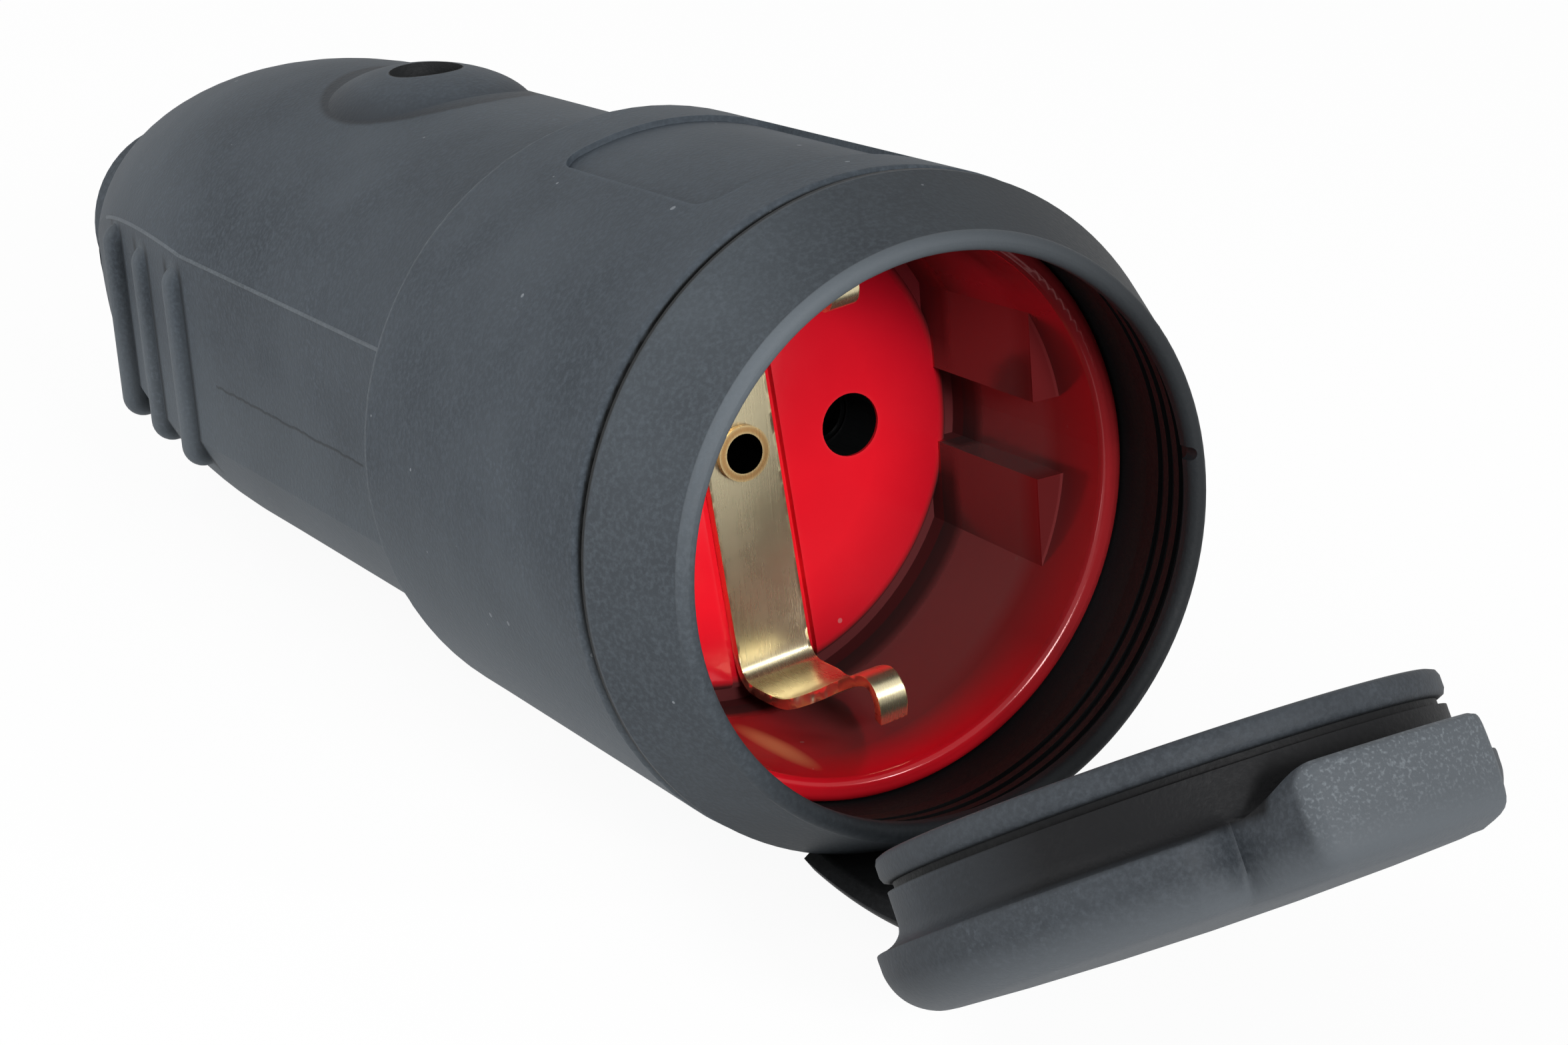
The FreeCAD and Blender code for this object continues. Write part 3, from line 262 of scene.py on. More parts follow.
def tint(material, mask, colour, strength=1.0):
    """Lays a colour over what already feeds the material's base colour."""
    tree = material.node_tree
    target = tree.nodes["Principled BSDF"].inputs["Base Color"]
    link(tree, colour_mix(tree, product(tree, mask, strength), target.links[0].from_socket, colour), target)


def paint(piece, material):
    """Gives a piece one material."""
    piece.data.materials.clear()
    piece.data.materials.append(material)


LIE = math.radians(3.7)
MM = 0.001
SHADOWED = (0.008, 0.009, 0.0095, 1)
PIN_X = 9.5
FLOOR_Y = 17.3
BLOCK_FRONT = (4.2, 4.45)
red, tree, shader = new_material("red plastic", Specular_IOR_Level=0.5, Specular_Tint=(1.0, 0.55, 0.55, 1))
look = place_group(tree, skin, Grain_Scale=900.0, Cloud_Scale=120.0)
specks = place_group(tree, dust, Spread=420.0, Speck=0.09, Share=0.25)
edges = place_group(tree, wear, Radius=0.0006, Gain=2.0)
link(tree, colour_mix(tree, look.outputs["Cloud"], (0.74, 0.008, 0.019, 1), (0.88, 0.012, 0.025, 1)),
     shader.inputs["Base Color"])
tint(red, edges.outputs["Mask"], (0.80, 0.06, 0.07, 1), 0.35)
tint(red, specks.outputs["Mask"], (0.75, 0.4, 0.38, 1), 0.5)
place = axis_place(tree, LIE)
x, y, z = split(tree, place)

# Painted shade: the recess wall is darkened in its colour, except on its lower left, where a painted
# reflection of the brass lies as a pale streak.
outside = inverse(tree, in_zone(tree, place, Radius=16.7))
off_floor = in_zone(tree, place, To=FLOOR_Y)
wall = product(tree, outside, off_floor, in_zone(tree, place, From=2.6, Softness=4.5))
sideways = between(tree, ramp(tree, x, -5.0, 4.0), 0.3, 0.93)
tint(red, wall, (0.056, 0.056, 0.054, 1), sideways)
off_brass_reflection = oval(tree, (x, -4.4, 1.4), (y, 7.5, 6.0))
brass_reflection = math_node(tree, "MAXIMUM", inverse(tree, product(tree, off_brass_reflection, off_brass_reflection)), 0.0)
below = math_node(tree, "LESS_THAN", z, -15.0)
tint(red, product(tree, brass_reflection, below, off_floor), (0.90, 0.36, 0.16, 1), 0.8)

# Painted shade: the corner round the floor and the front ends of the guide blocks are painted darkest.
near_wall = inverse(tree, in_zone(tree, place, Radius=17.5, Softness=0.7))
corner = product(tree, near_wall, in_zone(tree, place, From=15.2, Softness=1.2))
tint(red, corner, (0.02, 0.010, 0.010, 1), 0.93)
block_ends = product(tree, outside, in_zone(tree, place, From=BLOCK_FRONT[0], To=BLOCK_FRONT[1], Radius=19.25,
                                            Softness=0.08))
tint(red, block_ends, (0.030, 0.002, 0.002, 1), 0.95)

# Painted shade: the floor darkens towards its top and its edge, the rim towards the upper right, and the pin
# holes are painted dark.
tint(red, ramp(tree, z, -3.0, 14.0), (0.26, 0.002, 0.010, 1), 0.72)
off_middle = inverse(tree, in_zone(tree, place, Radius=15.2, Softness=7.0))
floor_edge = product(tree, off_middle, inverse(tree, corner), in_zone(tree, place, From=FLOOR_Y))
tint(red, floor_edge, (0.24, 0.002, 0.010, 1), 0.6)
upper_right = ramp(tree, math_node(tree, "ADD", z, product(tree, x, 0.6)), -17.0, -5.0)
rim = product(tree, outside, in_zone(tree, place, From=-3.0, To=6.0, Softness=2.0))
tint(red, product(tree, upper_right, rim), (0.12, 0.014, 0.015, 1), 0.8)
off_pin = oval(tree, (math_node(tree, "ABSOLUTE", x), PIN_X, 1.0), (z, 0.0, 1.0))
in_hole = math_node(tree, "LESS_THAN", off_pin, 2.55)
tint(red, product(tree, in_hole, math_node(tree, "GREATER_THAN", y, 17.75)), SHADOWED)
sheen = between(tree, look.outputs["Cloud"], 0.08, 0.24)
link(tree, math_node(tree, "ADD", sheen, product(tree, corner, 0.6)), shader.inputs["Roughness"])
bump(tree, shader, look.outputs["Grain"], 0.05, 0.0002)
paint(nodes["socket_insert"], red)


# Earth bracket and rivet: rolled brass strip, folded and held by a hollow rivet in the recess floor.
# Each end narrows to a springy tongue that rises from the wall and curls back to it.
# The strip has fine rolling lines, dull tarnish on its flats and bright worn folds.
def brass_material(name, dull, bright, rolling):
    """Brass with tarnish clouds, rolling lines along the strip and bright edges."""
    material, tree, shader = new_material(name, Metallic=0.93)
    look = place_group(tree, skin, Grain_Scale=2500.0, Cloud_Scale=150.0)
    edges = place_group(tree, wear, Radius=0.0004, Gain=4.0)
    place = node(tree, "TexCoord")
    stretch = node(tree, "Mapping", Scale=(9000.0, 260.0, 260.0))
    lines = node(tree, "TexNoise", Scale=1.0, Detail=2.0)
    link(tree, place.outputs["Object"], stretch.inputs["Vector"])
    link(tree, stretch.outputs["Vector"], lines.inputs["Vector"])
    link(tree, colour_mix(tree, look.outputs["Cloud"], dull, bright), shader.inputs["Base Color"])
    tint(material, edges.outputs["Mask"], (0.95, 0.78, 0.42, 1))
    rough = math_node(tree, "ADD", between(tree, look.outputs["Cloud"], 0.16, 0.32),
                      product(tree, lines.outputs["Fac"], 0.07))
    link(tree, rough, shader.inputs["Roughness"])
    bump(tree, shader, lines.outputs["Fac"], rolling, 0.00005)
    return material


def lying(x, y, z):
    """Point given on the socket axis in millimetres, in the frame of the lying connector."""
    return Vector((x, y * math.cos(LIE) + z * math.sin(LIE), z * math.cos(LIE) - y * math.sin(LIE))) * MM


def mesh_piece(name, points, faces, material):
    """Smooth mesh object from points and faces."""
    mesh = bpy.data.meshes.new(name)
    mesh.from_pydata([tuple(p) for p in points], [], faces)
    mesh.update()
    piece = bpy.data.objects.new(name, mesh)
    bpy.context.scene.collection.objects.link(piece)
    mesh.shade_smooth()
    paint(piece, material)
    return piece


def smooth_line(corners, steps):
    """Points along a smooth curve through the corners."""
    line = []
    ends = [Vector(corner) for corner in (corners[0], *corners, corners[-1])]
    for a, b, c, d in zip(ends, ends[1:], ends[2:], ends[3:]):
        for step in range(steps):
            t = step / steps
            bend = (2 * a - 5 * b + 4 * c - d) * t ** 2 + (3 * b - a - 3 * c + d) * t ** 3
            line.append(b + ((c - a) * t + bend) / 2)
    return line + [ends[-1]]


# Each corner of the strip gives its place along the axis, its height, and its left and right edges.
lower_tongue = [
    (2.3, -17.0, -0.5, 1.7), (2.0, -15.9, -0.55, 1.75), (2.15, -14.95, -0.55, 1.75), (2.7, -14.3, -0.55, 1.75),
    (3.5, -14.1, -0.6, 1.75), (5.0, -14.55, -0.7, 1.8), (7.0, -15.5, -0.9, 1.9), (8.5, -16.3, -1.6, 2.05),
    (10.0, -16.95, -2.7, 2.3), (11.5, -17.4, -3.0, 2.6)]
upper_tongue = [
    (11.5, 17.4, -2.7, 3.0), (10.0, 16.9, -2.0, 3.0), (8.5, 16.2, -1.1, 3.0), (7.0, 15.35, -0.1, 3.0),
    (5.0, 14.2, 0.6, 3.0), (3.5, 13.65, 0.8, 3.0), (2.7, 13.8, 0.8, 3.0), (2.1, 14.5, 0.8, 3.0),
    (1.95, 15.5, 0.85, 2.95), (2.2, 16.7, 0.85, 2.95)]
band = [
    (13.5, -17.6), (15.6, -17.6), (16.6, -17.4), (17.3, -16.75), (17.6, -15.8), (17.65, -14.0),
    (17.65, -11.0), (17.65, -8.0), (17.65, -5.0), (17.65, -2.5), (17.65, 0.0)]
band += [(y, -z) for y, z in reversed(band[:-1])]
BAND_HALF = 3.0
BAND_FLAT_Y = 17.0
SKEW = math.radians(-5.3)
STRIP_COLUMNS = 25
STRIP_THICK = 0.8
RIVET_HOLE = 1.9
strip_line = smooth_line(lower_tongue + [(y, z, -BAND_HALF, BAND_HALF) for y, z in band] + upper_tongue, 6)


def skewed(x, y, z):
    """Point of the bracket, turned on its rivet."""
    return lying(x * math.cos(SKEW) + z * math.sin(SKEW), y, z * math.cos(SKEW) - x * math.sin(SKEW))


points, faces, pierced = [], [], set()
for y, z, left, right in strip_line:
    for column in range(STRIP_COLUMNS):
        x = left + (right - left) * column / (STRIP_COLUMNS - 1)
        here = z
        out = math.hypot(x, z)
        if out < RIVET_HOLE and y > BAND_FLAT_Y:
            if out < 0.7 * RIVET_HOLE:
                pierced.add(len(points))
            else:
                x, here = x * RIVET_HOLE / out, z * RIVET_HOLE / out
        points.append(skewed(x, y, here))
for row in range(len(strip_line) - 1):
    for column in range(STRIP_COLUMNS - 1):
        a = row * STRIP_COLUMNS + column
        face = (a, a + 1, a + STRIP_COLUMNS + 1, a + STRIP_COLUMNS)
        if not pierced.intersection(face):
            faces.append(face)
strip_brass = brass_material("strip brass", (0.60, 0.52, 0.31, 1), (0.88, 0.79, 0.54, 1), 0.07)
strip = mesh_piece("earth_strip", points, faces, strip_brass)
trimmed = bmesh.new()
trimmed.from_mesh(strip.data)
bmesh.ops.delete(trimmed, geom=[corner for corner in trimmed.verts if not corner.link_faces], context="VERTS")
trimmed.to_mesh(strip.data)
trimmed.free()
sheet = strip.modifiers.new("sheet", "SOLIDIFY")
sheet.thickness = STRIP_THICK * MM
sheet.offset = 0.0
sheet.use_even_offset = True
burr = strip.modifiers.new("rolled edges", "BEVEL")
burr.width = 0.12 * MM
burr.segments = 2
burr.angle_limit = math.radians(60)
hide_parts("earth_bracket")
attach(strip, "connector")
rivet_brass = brass_material("rivet brass", (0.50, 0.27, 0.10, 1), (0.72, 0.44, 0.18, 1), 0.1)
tree = rivet_brass.node_tree
# Painted shade: the rivet's bore is painted dark.
tint(rivet_brass, in_zone(tree, axis_place(tree, LIE), From=16.75, Radius=1.56, Softness=0.08), SHADOWED)
paint(nodes["earth_rivet"], rivet_brass)


# Contact carrier and cord saddle: matt black moulded plastic inside the housing.
# They hold the contacts, the terminals and the end of the cord.
black, tree, shader = new_material("carrier plastic")
look = place_group(tree, skin, Grain_Scale=2200.0, Cloud_Scale=150.0)
link(tree, colour_mix(tree, look.outputs["Cloud"], (0.018, 0.018, 0.019, 1), (0.034, 0.034, 0.036, 1)),
     shader.inputs["Base Color"])
link(tree, between(tree, look.outputs["Grain"], 0.5, 0.75), shader.inputs["Roughness"])
bump(tree, shader, look.outputs["Grain"], 0.2, 0.0001)
for name in ("contact_carrier", "cord_saddle"):
    paint(nodes[name], black)


# Line contacts, earth terminal and bush: turned and milled brass behind the insert, its colour darkened as
# dull tarnish and as painted shade, and painted fully dark inside the sleeves.
# Their springs and screws are zinc-plated steel with a faint cloudy bloom.
dull_shaded_brass = brass_material("dull shaded brass", (0.05, 0.03, 0.014, 1), (0.12, 0.075, 0.035, 1), 0.1)
tree = dull_shaded_brass.node_tree
x, y, z = split(tree, axis_place(tree, LIE))
off_pin = oval(tree, (math_node(tree, "ABSOLUTE", x), PIN_X, 1.0), (z, 0.0, 1.0))
tint(dull_shaded_brass, math_node(tree, "LESS_THAN", off_pin, 2.9), SHADOWED)
for name in ("line_contact_right", "line_contact_left", "earth_terminal", "fixing_bush"):
    paint(nodes[name], dull_shaded_brass)

zinc, tree, shader = new_material("zinc plated steel", Metallic=1.0)
look = place_group(tree, skin, Grain_Scale=4000.0, Cloud_Scale=500.0)
link(tree, colour_mix(tree, look.outputs["Cloud"], (0.34, 0.34, 0.35, 1), (0.62, 0.62, 0.63, 1)),
     shader.inputs["Base Color"])
link(tree, between(tree, look.outputs["Cloud"], 0.25, 0.5), shader.inputs["Roughness"])
bump(tree, shader, look.outputs["Grain"], 0.1, 0.00005)
for name in ("contact_springs", "line_terminal_screws", "earth_terminal_screw", "carrier_screws",
             "fixing_screw", "saddle_screws"):
    paint(nodes[name], zinc)


# Housing: one heavy moulding in dark blue-grey rubber, with a spark-eroded skin and a soft bloom.
# Handling leaves pale dust in the grain and rubs the edges lighter; the rib crowns are lighter too, and the
# creases carry painted shade.
def rubber_material(name, dark, pale, grain, dusty, grip_bump):
    """Rubber with a fine grain, cloudy bloom, rubbed edges and dust specks."""
    material, tree, shader = new_material(name, Specular_IOR_Level=0.16)
    look = place_group(tree, skin, Grain_Scale=grain, Cloud_Scale=70.0)
    specks = place_group(tree, dust, Spread=380.0, Speck=0.085, Share=dusty)
    edges = place_group(tree, wear, Radius=0.0007, Gain=2.5)
    scuffs = place_group(tree, scuff)
    link(tree, colour_mix(tree, ramp(tree, look.outputs["Cloud"], 0.3, 0.7), dark, pale),
         shader.inputs["Base Color"])
    fleck = ramp(tree, look.outputs["Grain"], 0.42, 0.7)
    for mask, gain, strength in ((fleck, 1.35, 0.7), (scuffs.outputs["Mask"], 1.9, 0.5),
                                 (edges.outputs["Mask"], 1.7, 0.4)):
        tint(material, mask, (pale[0] * gain, pale[1] * gain, pale[2] * gain, 1), strength)
    tint(material, specks.outputs["Mask"], (0.26, 0.28, 0.3, 1), 0.5)
    link(tree, between(tree, look.outputs["Grain"], 0.5, 0.75), shader.inputs["Roughness"])
    bump(tree, shader, look.outputs["Grain"], grip_bump, 0.00012)
    return material


BOSS_Y, BOSS_HOLE = 65.0, 3.08
BOSS_HALF_WIDTH, BOSS_HALF_LENGTH = 8.2, 11.5
RIB_Y, RIB_HALF_PITCH, RIB_EDGE = 78.4, 4.7, 1.9
housing_rubber = rubber_material(
    "housing rubber", (0.020, 0.026, 0.033, 1), (0.041, 0.050, 0.060, 1), 2600.0, 0.4, 0.5)
tree = housing_rubber.node_tree
place = axis_place(tree, LIE)
x, y, z = split(tree, place)
# Painted shade: the housing's front at its joint with the collar is painted dark.
tint(housing_rubber, in_zone(tree, place, From=-4.0, To=-2.45, Radius=23.7), SHADOWED)
# Painted light: the lower side is painted lighter, as light thrown up from the white floor.
tint(housing_rubber, ramp(tree, z, 2.0, -16.0), (0.094, 0.108, 0.120, 1), 0.6)
on_top = math_node(tree, "GREATER_THAN", z, 10.0)
# Painted shade: the foot of the boss is darkened.
off_boss = oval(tree, (x, 0.0, BOSS_HALF_WIDTH), (y, BOSS_Y, BOSS_HALF_LENGTH))
boss_foot = product(tree, ramp(tree, off_boss, 0.62, 0.96), ramp(tree, off_boss, 1.03, 0.98), on_top)
tint(housing_rubber, boss_foot, (0.010, 0.012, 0.015, 1), 0.8)
# Painted shade: the creases beside the ribs are darkened; the rib crowns are lighter.
off_rib = math_node(tree, "PINGPONG", math_node(tree, "SUBTRACT", y, RIB_Y), RIB_HALF_PITCH)
off_crease = math_node(tree, "ABSOLUTE", math_node(tree, "SUBTRACT", off_rib, RIB_EDGE))
off_middle = math_node(tree, "ABSOLUTE", math_node(tree, "ADD", z, 2.0))
ribbed = product(tree, ramp(tree, off_middle, 9.6, 8.2),
                 in_zone(tree, place, From=75.2, To=100.4, Softness=0.4))
tint(housing_rubber, product(tree, ramp(tree, off_crease, 0.75, 0.1), ribbed), (0.008, 0.010, 0.012, 1), 0.85)
tint(housing_rubber, product(tree, ramp(tree, off_rib, 1.1, 0.4), ribbed), (0.100, 0.114, 0.127, 1), 0.35)
# Painted shade: the boss's hole is painted dark.
off_hole = oval(tree, (y, BOSS_Y, BOSS_HOLE), (x, 0.0, BOSS_HOLE))
in_hole = product(tree, math_node(tree, "LESS_THAN", off_hole, 1.0), on_top)
tint(housing_rubber, in_hole, (0.014, 0.015, 0.016, 1))
paint(nodes["rubber_housing"], housing_rubber)


# Mould flash: thin raised seams that the split mould leaves on the grip and round the step.
# They are part of the same rubber, a tenth of a millimetre high, paler where they are rubbed.
def seam_mesh(line, width, height):
    """Half-round ridge along points with normals: line holds (point, normal, share of the height)."""
    points, faces = [], []
    profile = [(-0.5, -0.6), (-0.28, 0.65), (0.0, 1.0), (0.28, 0.65), (0.5, -0.6)]
    for number, (spot, normal, share) in enumerate(line):
        before = line[max(number - 1, 0)][0]
        after = line[min(number + 1, len(line) - 1)][0]
        side = (after - before).normalized().cross(normal).normalized()
        for across, up in profile:
            points.append(spot + side * (across * width * MM) + normal * (up * height * share * MM))
    rows = len(profile)
    for number in range(len(line) - 1):
        for k in range(rows - 1):
            a = number * rows + k
            faces.append((a, a + 1, a + rows + 1, a + rows))
    return points, faces


def arc_x(y, start, end, radius):
    """Distance from the axis on a circle arc between two points, bulging outwards."""
    start, end = Vector(start), Vector(end)
    chord = end - start
    left = Vector((-chord.y, chord.x)).normalized()
    centre = (start + end) / 2 + left * math.sqrt(radius ** 2 - chord.length_squared / 4)
    return centre.x + math.sqrt(radius ** 2 - (y - centre.y) ** 2)


STEP_Y, DOME_Y = 31.7, 76.0


def grip_radius(y):
    """Radius of the round grip at a height on the axis: straight draft, then the dome."""
    if y <= DOME_Y:
        return 21.2 - 0.6 * (y - STEP_Y) / (DOME_Y - STEP_Y)
    return arc_x(y, (20.6, DOME_Y), (9.0, 121.0), 98.0)


def flat_x(y):
    """Half width over the grip's flats."""
    if y <= DOME_Y:
        return 19.61 - 0.65 * (y - STEP_Y) / (DOME_Y - STEP_Y)
    return arc_x(y, (18.96, DOME_Y), (12.3, 114.0), 154.0)


chance = random.Random(7)
points, faces = [], []


def add_seam(line, width, height):
    """Adds one seam to the points and faces of the piece."""
    made, strips = seam_mesh(line, width, height)
    faces.extend(tuple(k + len(points) for k in strip) for strip in strips)
    points.extend(made)


UPPER_FROM, UPPER_TO, UPPER_STEPS = 32.2, 102.0, 160
UPPER_LEAN_X, UPPER_LEAN_Z = 12, 7
MIDDLE_FROM, MIDDLE_TO, MIDDLE_STEPS = 41.0, 71.0, 60
MIDDLE_Z = -2.2
RING_Y, RING_RADIUS, RING_STEPS = 31.55, 23.2, 240
for side in (-1, 1):
    upper = []
    for step in range(UPPER_STEPS + 1):
        y = UPPER_FROM + (UPPER_TO - UPPER_FROM) * step / UPPER_STEPS
        x = flat_x(y)
        r = grip_radius(y)
        z = math.sqrt(max(r * r - x * x, 0.0))
        spot = lying(side * x, y, z)
        normal = (lying(side * (x + UPPER_LEAN_X), y, z + UPPER_LEAN_Z) - spot).normalized()
        upper.append((spot, normal, 0.6 + 0.4 * chance.random()))
    add_seam(upper, 0.36, 0.09)
    middle = []
    for step in range(MIDDLE_STEPS + 1):
        y = MIDDLE_FROM + (MIDDLE_TO - MIDDLE_FROM) * step / MIDDLE_STEPS
        out = lying(side * 1.0, 0, 0) - lying(0, 0, 0)
        fade = math.sin(math.pi * step / MIDDLE_STEPS) ** 0.5
        middle.append((lying(side * flat_x(y), y, MIDDLE_Z + 0.15 * chance.random()), out.normalized(), fade))
    add_seam(middle, 0.3, 0.05)
ring = []
for step in range(RING_STEPS + 1):
    turn = 2 * math.pi * step / RING_STEPS
    x, z = math.cos(turn), math.sin(turn)
    out = lying(x, 0.35, z) - lying(0, 0, 0)
    share = 0.35 + 0.4 * abs(x) + 0.25 * chance.random()
    ring.append((lying(RING_RADIUS * x, RING_Y, RING_RADIUS * z), out.normalized(), share))
add_seam(ring, 0.42, 0.15)

seam_rubber = rubber_material(
    "seam rubber", (0.036, 0.044, 0.051, 1), (0.078, 0.089, 0.100, 1), 3000.0, 0.1, 0.3)
tree = seam_rubber.node_tree
x, y, z = split(tree, axis_place(tree, LIE))
off_level = math_node(tree, "ABSOLUTE", math_node(tree, "ADD", z, 2.1))
in_middle = product(tree, math_node(tree, "LESS_THAN", off_level, 0.6),
                    math_node(tree, "GREATER_THAN", y, 35.0))
tint(seam_rubber, in_middle, (0.014, 0.017, 0.020, 1), 0.8)
seams = mesh_piece("mould_flash", points, faces, seam_rubber)
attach(seams, "connector")


# Collar: a softer, slightly smoother rubber ring pressed over the front of the insert.
# Painted light and shade: its lip is painted paler above, and its bore, its joint and its right side are
# painted dark.
collar_rubber = rubber_material(
    "collar rubber", (0.026, 0.031, 0.037, 1), (0.042, 0.050, 0.058, 1), 2800.0, 0.16, 0.3)
tree = collar_rubber.node_tree
place = axis_place(tree, LIE)
x, y, z = split(tree, place)
bore = in_zone(tree, place, From=-9.9, To=9.0, Radius=20.55, Widening=0.42, Softness=0.3)
tint(collar_rubber, bore, SHADOWED)
tint(collar_rubber, in_zone(tree, place, From=-3.62, To=9.0), SHADOWED)
lip = in_zone(tree, place, To=-10.6, Softness=0.12)
tint(collar_rubber, product(tree, lip, ramp(tree, z, -5.0, 17.0)), (0.105, 0.121, 0.136, 1), 0.8)
rightwards = math_node(tree, "SUBTRACT", product(tree, x, 0.9), product(tree, z, 0.2))
tint(collar_rubber, ramp(tree, rightwards, -17.0, 12.0), (0.008, 0.009, 0.010, 1), 0.9)
paint(nodes["lid_collar"], collar_rubber)


# Strap: a thin tongue of black rubber from the collar's foot to the lid, moulded flat and bent by use.
# Its long edges are rounded and rubbed paler than its face.
OPEN = math.radians(60.5)
HINGE_Y, HINGE_Z = -11.8, -26.9
LID_FACE_Y = -6.8


def opened(up, depth):
    """Place on the opened lid: up from its centre and in from its inner face."""
    y, z = LID_FACE_Y - depth - HINGE_Y, up - HINGE_Z
    return (HINGE_Y + y * math.cos(OPEN) - z * math.sin(OPEN),
            HINGE_Z + y * math.sin(OPEN) + z * math.cos(OPEN))


foot = opened(-18.7, 6.6)
# Place on the axis, half width, bow radius and crown at the strap's start, middle and end.
sections = [(-3.4, 9.0, 23.8, -23.7), (-11.8, 8.0, 60.0, -24.1), (foot[0], 7.0, 60.0, foot[1] + 0.8)]


def strap_section(along):
    """Place on the axis, half width, bow radius and crown of the strap at a share of its length."""
    weights = ((2 * along - 1) * (along - 1), 4 * along * (1 - along), along * (2 * along - 1))
    y = sum(w * section[0] for w, section in zip(weights, sections))
    half = sum(w * section[1] for w, section in zip(weights, sections))
    curve = sum(w / section[2] for w, section in zip(weights, sections))
    crown = sum(w * section[3] for w, section in zip(weights, sections))
    return y, half, 1 / curve, crown


ROWS, COLUMNS = 41, 25
STRAP_THICK = 1.6
EDGE_ROUND = 0.07
points, faces = [], []
for row in range(ROWS):
    y, half, bend, crown = strap_section(row / (ROWS - 1))
    loop = []
    for column in range(COLUMNS):
        share = -1 + 2 * column / (COLUMNS - 1)
        x = share * half
        past = max(0.0, abs(share) - (1 - EDGE_ROUND)) / EDGE_ROUND
        round_off = STRAP_THICK / 2 * (1 - math.sqrt(max(1 - past ** 2, 0.0)))
        top = crown + bend - math.sqrt(bend * bend - x * x)
        loop.append((x, top - round_off, top - STRAP_THICK + round_off))
    points += [lying(x, y, top) for x, top, low in loop]
    points += [lying(x, y, low) for x, top, low in loop]
for row in range(ROWS - 1):
    for column in range(COLUMNS - 1):
        a = row * 2 * COLUMNS + column
        b = a + 2 * COLUMNS
        faces.append((a, b, b + 1, a + 1))
        faces.append((a + COLUMNS, a + COLUMNS + 1, b + COLUMNS + 1, b + COLUMNS))
    for column in (0, COLUMNS - 1):
        a = row * 2 * COLUMNS + column
        b = a + 2 * COLUMNS
        faces.append((a, a + COLUMNS, b + COLUMNS, b) if column == 0 else (a, b, b + COLUMNS, a + COLUMNS))
for row in (0, ROWS - 1):
    start = row * 2 * COLUMNS
    for column in range(COLUMNS - 1):
        a = start + column
        cap = (a, a + 1, a + COLUMNS + 1, a + COLUMNS)
        faces.append(cap if row == 0 else cap[::-1])
strap_rubber = rubber_material(
    "strap rubber", (0.008, 0.008, 0.009, 1), (0.018, 0.019, 0.020, 1), 2600.0, 0.05, 0.25)
strap = mesh_piece("strap", points, faces, strap_rubber)
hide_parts("hinge_strap")
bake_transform(strap)


# Lid: a plug of the same rubber with a snap flange, a flared cap and a grainy pull tab.
# The tab's coarse grain carries bright specks, partly dust and partly painted glints; the groove and the
# throat beside the tab are painted dark as shade.
lid_rubber = rubber_material(
    "lid rubber", (0.016, 0.019, 0.023, 1), (0.032, 0.037, 0.043, 1), 3000.0, 0.2, 0.4)
tree = lid_rubber.node_tree
y, z = opened(0.0, 0.0)
place = axis_place(tree, LIE - OPEN, (0.0, LID_FACE_Y - y * math.cos(OPEN) - z * math.sin(OPEN),
                                      y * math.sin(OPEN) - z * math.cos(OPEN)))
x, y, z = split(tree, place)
tint(lid_rubber, in_zone(tree, place, From=-9.15, To=-8.55, Radius=18.6), SHADOWED)
throat = product(tree, ramp(tree, z, -2.0, 10.0),
                 in_zone(tree, place, From=-12.6, To=-8.6, Radius=20.6, Softness=0.6))
tint(lid_rubber, throat, (0.002, 0.002, 0.0025, 1), 0.97)
# Painted light: the cap's outer rounding and outer face are painted lighter.
tint(lid_rubber, in_zone(tree, place, To=-15.6, Softness=2.4), (0.082, 0.092, 0.102, 1), 0.8)
on_tab = inverse(tree, in_zone(tree, place, Radius=22.6, Softness=0.5))
tint(lid_rubber, on_tab, (0.072, 0.081, 0.090, 1), 0.75)
grit = node(tree, "TexNoise", Scale=4.2, Detail=2.0)
link(tree, place, grit.inputs["Vector"])
sparkle = product(tree, ramp(tree, grit.outputs["Fac"], 0.52, 0.72), on_tab,
                  in_zone(tree, place, From=-14.6, Softness=3.0))
tint(lid_rubber, sparkle, (0.17, 0.19, 0.206, 1), 0.45)

# Sections through the lid from the plug to the outer face, as radius and depth: plain rim, valley and tab.
rim_section = [
    (18.3, 4.4), (18.45, 4.95), (18.95, 5.45), (19.6, 5.72), (20.05, 5.8), (20.2, 5.95), (20.2, 6.5),
    (20.15, 7.3), (19.85, 8.25), (19.3, 9.1), (18.5, 9.78), (17.5, 10.25), (16.4, 10.42)]
valley_section = [
    (18.3, 4.4), (18.3, 4.8), (18.3, 5.1), (18.3, 5.3), (18.28, 5.5), (18.25, 5.8), (18.2, 6.3),
    (18.15, 7.0), (18.1, 7.8), (18.05, 8.6), (17.9, 9.4), (17.4, 10.0), (16.3, 10.35)]
tab_section = [
    (18.3, 4.4), (18.5, 5.4), (19.2, 5.95), (20.8, 6.0), (21.45, 5.7), (21.6, 4.5), (21.85, 3.85),
    (22.4, 3.7), (23.0, 3.8), (23.4, 4.4), (23.4, 8.0), (22.9, 9.6), (21.0, 10.4)]
inner_section = [
    (6.0, 0.0), (12.0, 0.0), (17.4, 0.0), (18.0, 0.0), (18.35, 0.15), (18.5, 0.5), (18.5, 1.3),
    (18.35, 1.65), (18.0, 1.8), (17.8, 1.82), (17.8, 2.28), (18.3, 2.32)]
outer_section = [(12.0, 10.65), (6.0, 10.83)]
OUTER_DEPTH = 10.9
TAB_EDGE, VALLEY, RIM = 15.5, 28.0, 38.0
ROUNDING = 0.3
LID_TWIST = math.radians(5.0)
LID_COLUMNS = 480


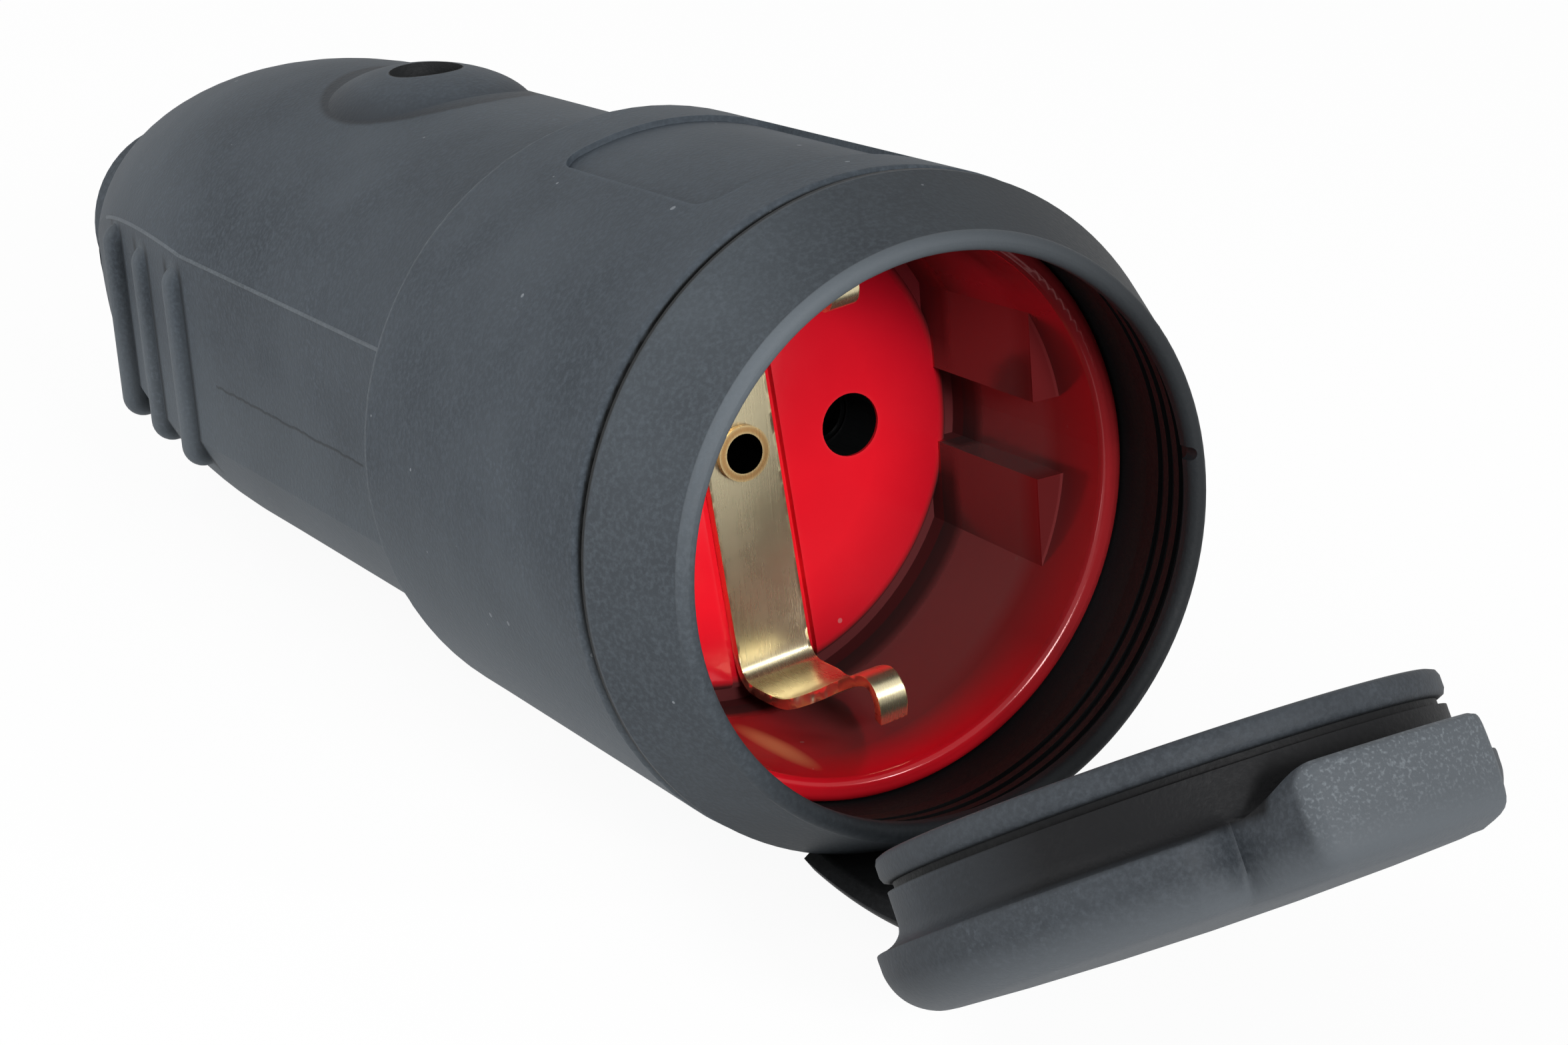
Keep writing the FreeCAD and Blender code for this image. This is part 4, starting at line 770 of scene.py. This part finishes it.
def lid_section(turn):
    """Section at an angle from the tab's middle: tab, its flank down to the valley, and the plain rim."""
    turn = abs(turn)
    fall = min(max((turn - TAB_EDGE) / (VALLEY - TAB_EDGE), 0.0), 1.0)
    fall = (fall ** 2 / (2 * ROUNDING) if fall < ROUNDING else fall - ROUNDING / 2) / (1 - ROUNDING / 2)
    rise = min(max((turn - VALLEY) / (RIM - VALLEY), 0.0), 1.0)
    rise = math.sin(rise * math.pi / 2)
    mixed = [Vector(tab) * (1 - fall) + (Vector(low) * (1 - rise) + Vector(plain) * rise) * fall
             for tab, low, plain in zip(tab_section, valley_section, rim_section)]
    return [*map(Vector, inner_section), *smooth_line(mixed, 4), *map(Vector, outer_section)]


def lid_point(radius, depth, turn):
    """Point of the opened lid at a radius, a depth from its inner face and an angle from the tab's middle."""
    turn += LID_TWIST
    y, z = opened(radius * math.cos(turn), depth)
    return lying(radius * math.sin(turn), y, z)


points, faces = [], []
for column in range(LID_COLUMNS):
    degrees = -180 + 360 * column / LID_COLUMNS
    section = lid_section(degrees)
    points += [lid_point(radius, depth, math.radians(degrees)) for radius, depth in section]
rows = len(section)
for column in range(LID_COLUMNS):
    following = (column + 1) % LID_COLUMNS
    for row in range(rows - 1):
        a, b = column * rows + row, following * rows + row
        faces.append((a, a + 1, b + 1, b))
for row, depth, order in ((0, 0.0, 1), (rows - 1, OUTER_DEPTH, -1)):
    points.append(lid_point(0.0, depth, 0.0))
    for column in range(LID_COLUMNS):
        following = (column + 1) % LID_COLUMNS
        faces.append((len(points) - 1, column * rows + row, following * rows + row)[::order])
lid = mesh_piece("lid", points, faces, lid_rubber)
lid.data.set_sharp_from_angle(angle=math.radians(50))
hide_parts("hinged_lid")
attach(lid, "lid")


# Studio: a pale floor under the connector, a white surround, soft boxes and the camera.
# The floor stays white for the eye and keeps a light shadow under the rubber.
def looked_at(tree):
    """Mask of what the eye sees directly, in a reflection or through something clear."""
    seen = node(tree, "LightPath")
    indirect = math_node(tree, "MAXIMUM", seen.outputs["Is Glossy Ray"], seen.outputs["Is Transmission Ray"])
    return math_node(tree, "MAXIMUM", seen.outputs["Is Camera Ray"], indirect)


floor_z = cad_box[0][2] - 0.00005
mesh = bpy.data.meshes.new("floor")
build = bmesh.new()
bmesh.ops.create_grid(build, x_segments=1, y_segments=1, size=3.0)
build.to_mesh(mesh)
build.free()
floor = bpy.data.objects.new("floor", mesh)
floor.location = (0.0, 0.0, floor_z)
bpy.context.scene.collection.objects.link(floor)
pale, tree, shader = new_material("pale floor", Roughness=0.9, Specular_IOR_Level=0.0)
look = place_group(tree, skin, Grain_Scale=40.0, Cloud_Scale=3.0)
link(tree, colour_mix(tree, look.outputs["Cloud"], (0.86, 0.86, 0.86, 1), (0.9, 0.9, 0.9, 1)),
     shader.inputs["Base Color"])
white = node(tree, "Emission", Color=(1, 1, 1, 1), Strength=1.0)
blend = node(tree, "MixShader")
link(tree, product(tree, looked_at(tree), 0.94), blend.inputs["Fac"])
link(tree, shader.outputs["BSDF"], blend.inputs[1])
link(tree, white.outputs["Emission"], blend.inputs[2])
link(tree, blend.outputs["Shader"], tree.nodes["Material Output"].inputs["Surface"])
paint(floor, pale)

world = bpy.data.worlds.new("white surround")
bpy.context.scene.world = world
world.use_nodes = True
tree = world.node_tree
surround = tree.nodes["Background"]
surround.inputs["Color"].default_value = (1, 1, 1, 1)
link(tree, between(tree, looked_at(tree), 0.42, 1.0), surround.inputs["Strength"])


def soft_box(name, place, aim, width, height, power):
    """Rectangular soft light at a place, aimed at a point."""
    lamp = bpy.data.lights.new(name, "AREA")
    lamp.shape = "RECTANGLE"
    lamp.size = width
    lamp.size_y = height
    lamp.energy = power
    box = bpy.data.objects.new(name, lamp)
    box.location = place
    box.rotation_euler = (Vector(aim) - Vector(place)).to_track_quat("-Z", "Y").to_euler()
    bpy.context.scene.collection.objects.link(box)


soft_box("key box", (-0.40, 0.25, 0.50), (0, 0.05, 0), 0.5, 0.5, 2.2)
soft_box("mouth box", (-0.06, -0.61, 0.22), (0, 0.01, 0), 0.14, 0.14, 3.7)
soft_box("glint box", (0.30, -0.50, 0.26), (0, 0.01, -0.01), 0.06, 0.06, 0.65)
soft_box("fill box", (-0.5, 0.05, 0.03), (0, 0.05, 0), 0.5, 0.16, 1.0)

lens = bpy.data.cameras.new("camera")
lens.sensor_width = 36.0
lens.lens = 87.075
lens.clip_start = 0.01
camera = bpy.data.objects.new("camera", lens)
right = Vector((0.856909, -0.513869, -0.040564))
up = Vector((0.217335, 0.288818, 0.932389))
ahead = Vector((0.467410, 0.807789, -0.359173))
turn = Matrix((right, up, -ahead)).transposed().to_4x4()
camera.matrix_world = Matrix.Translation((-0.127155, -0.208319, 0.092910)) @ turn
bpy.context.scene.collection.objects.link(camera)
bpy.context.scene.camera = camera
bpy.context.scene.view_settings.view_transform = "Standard"
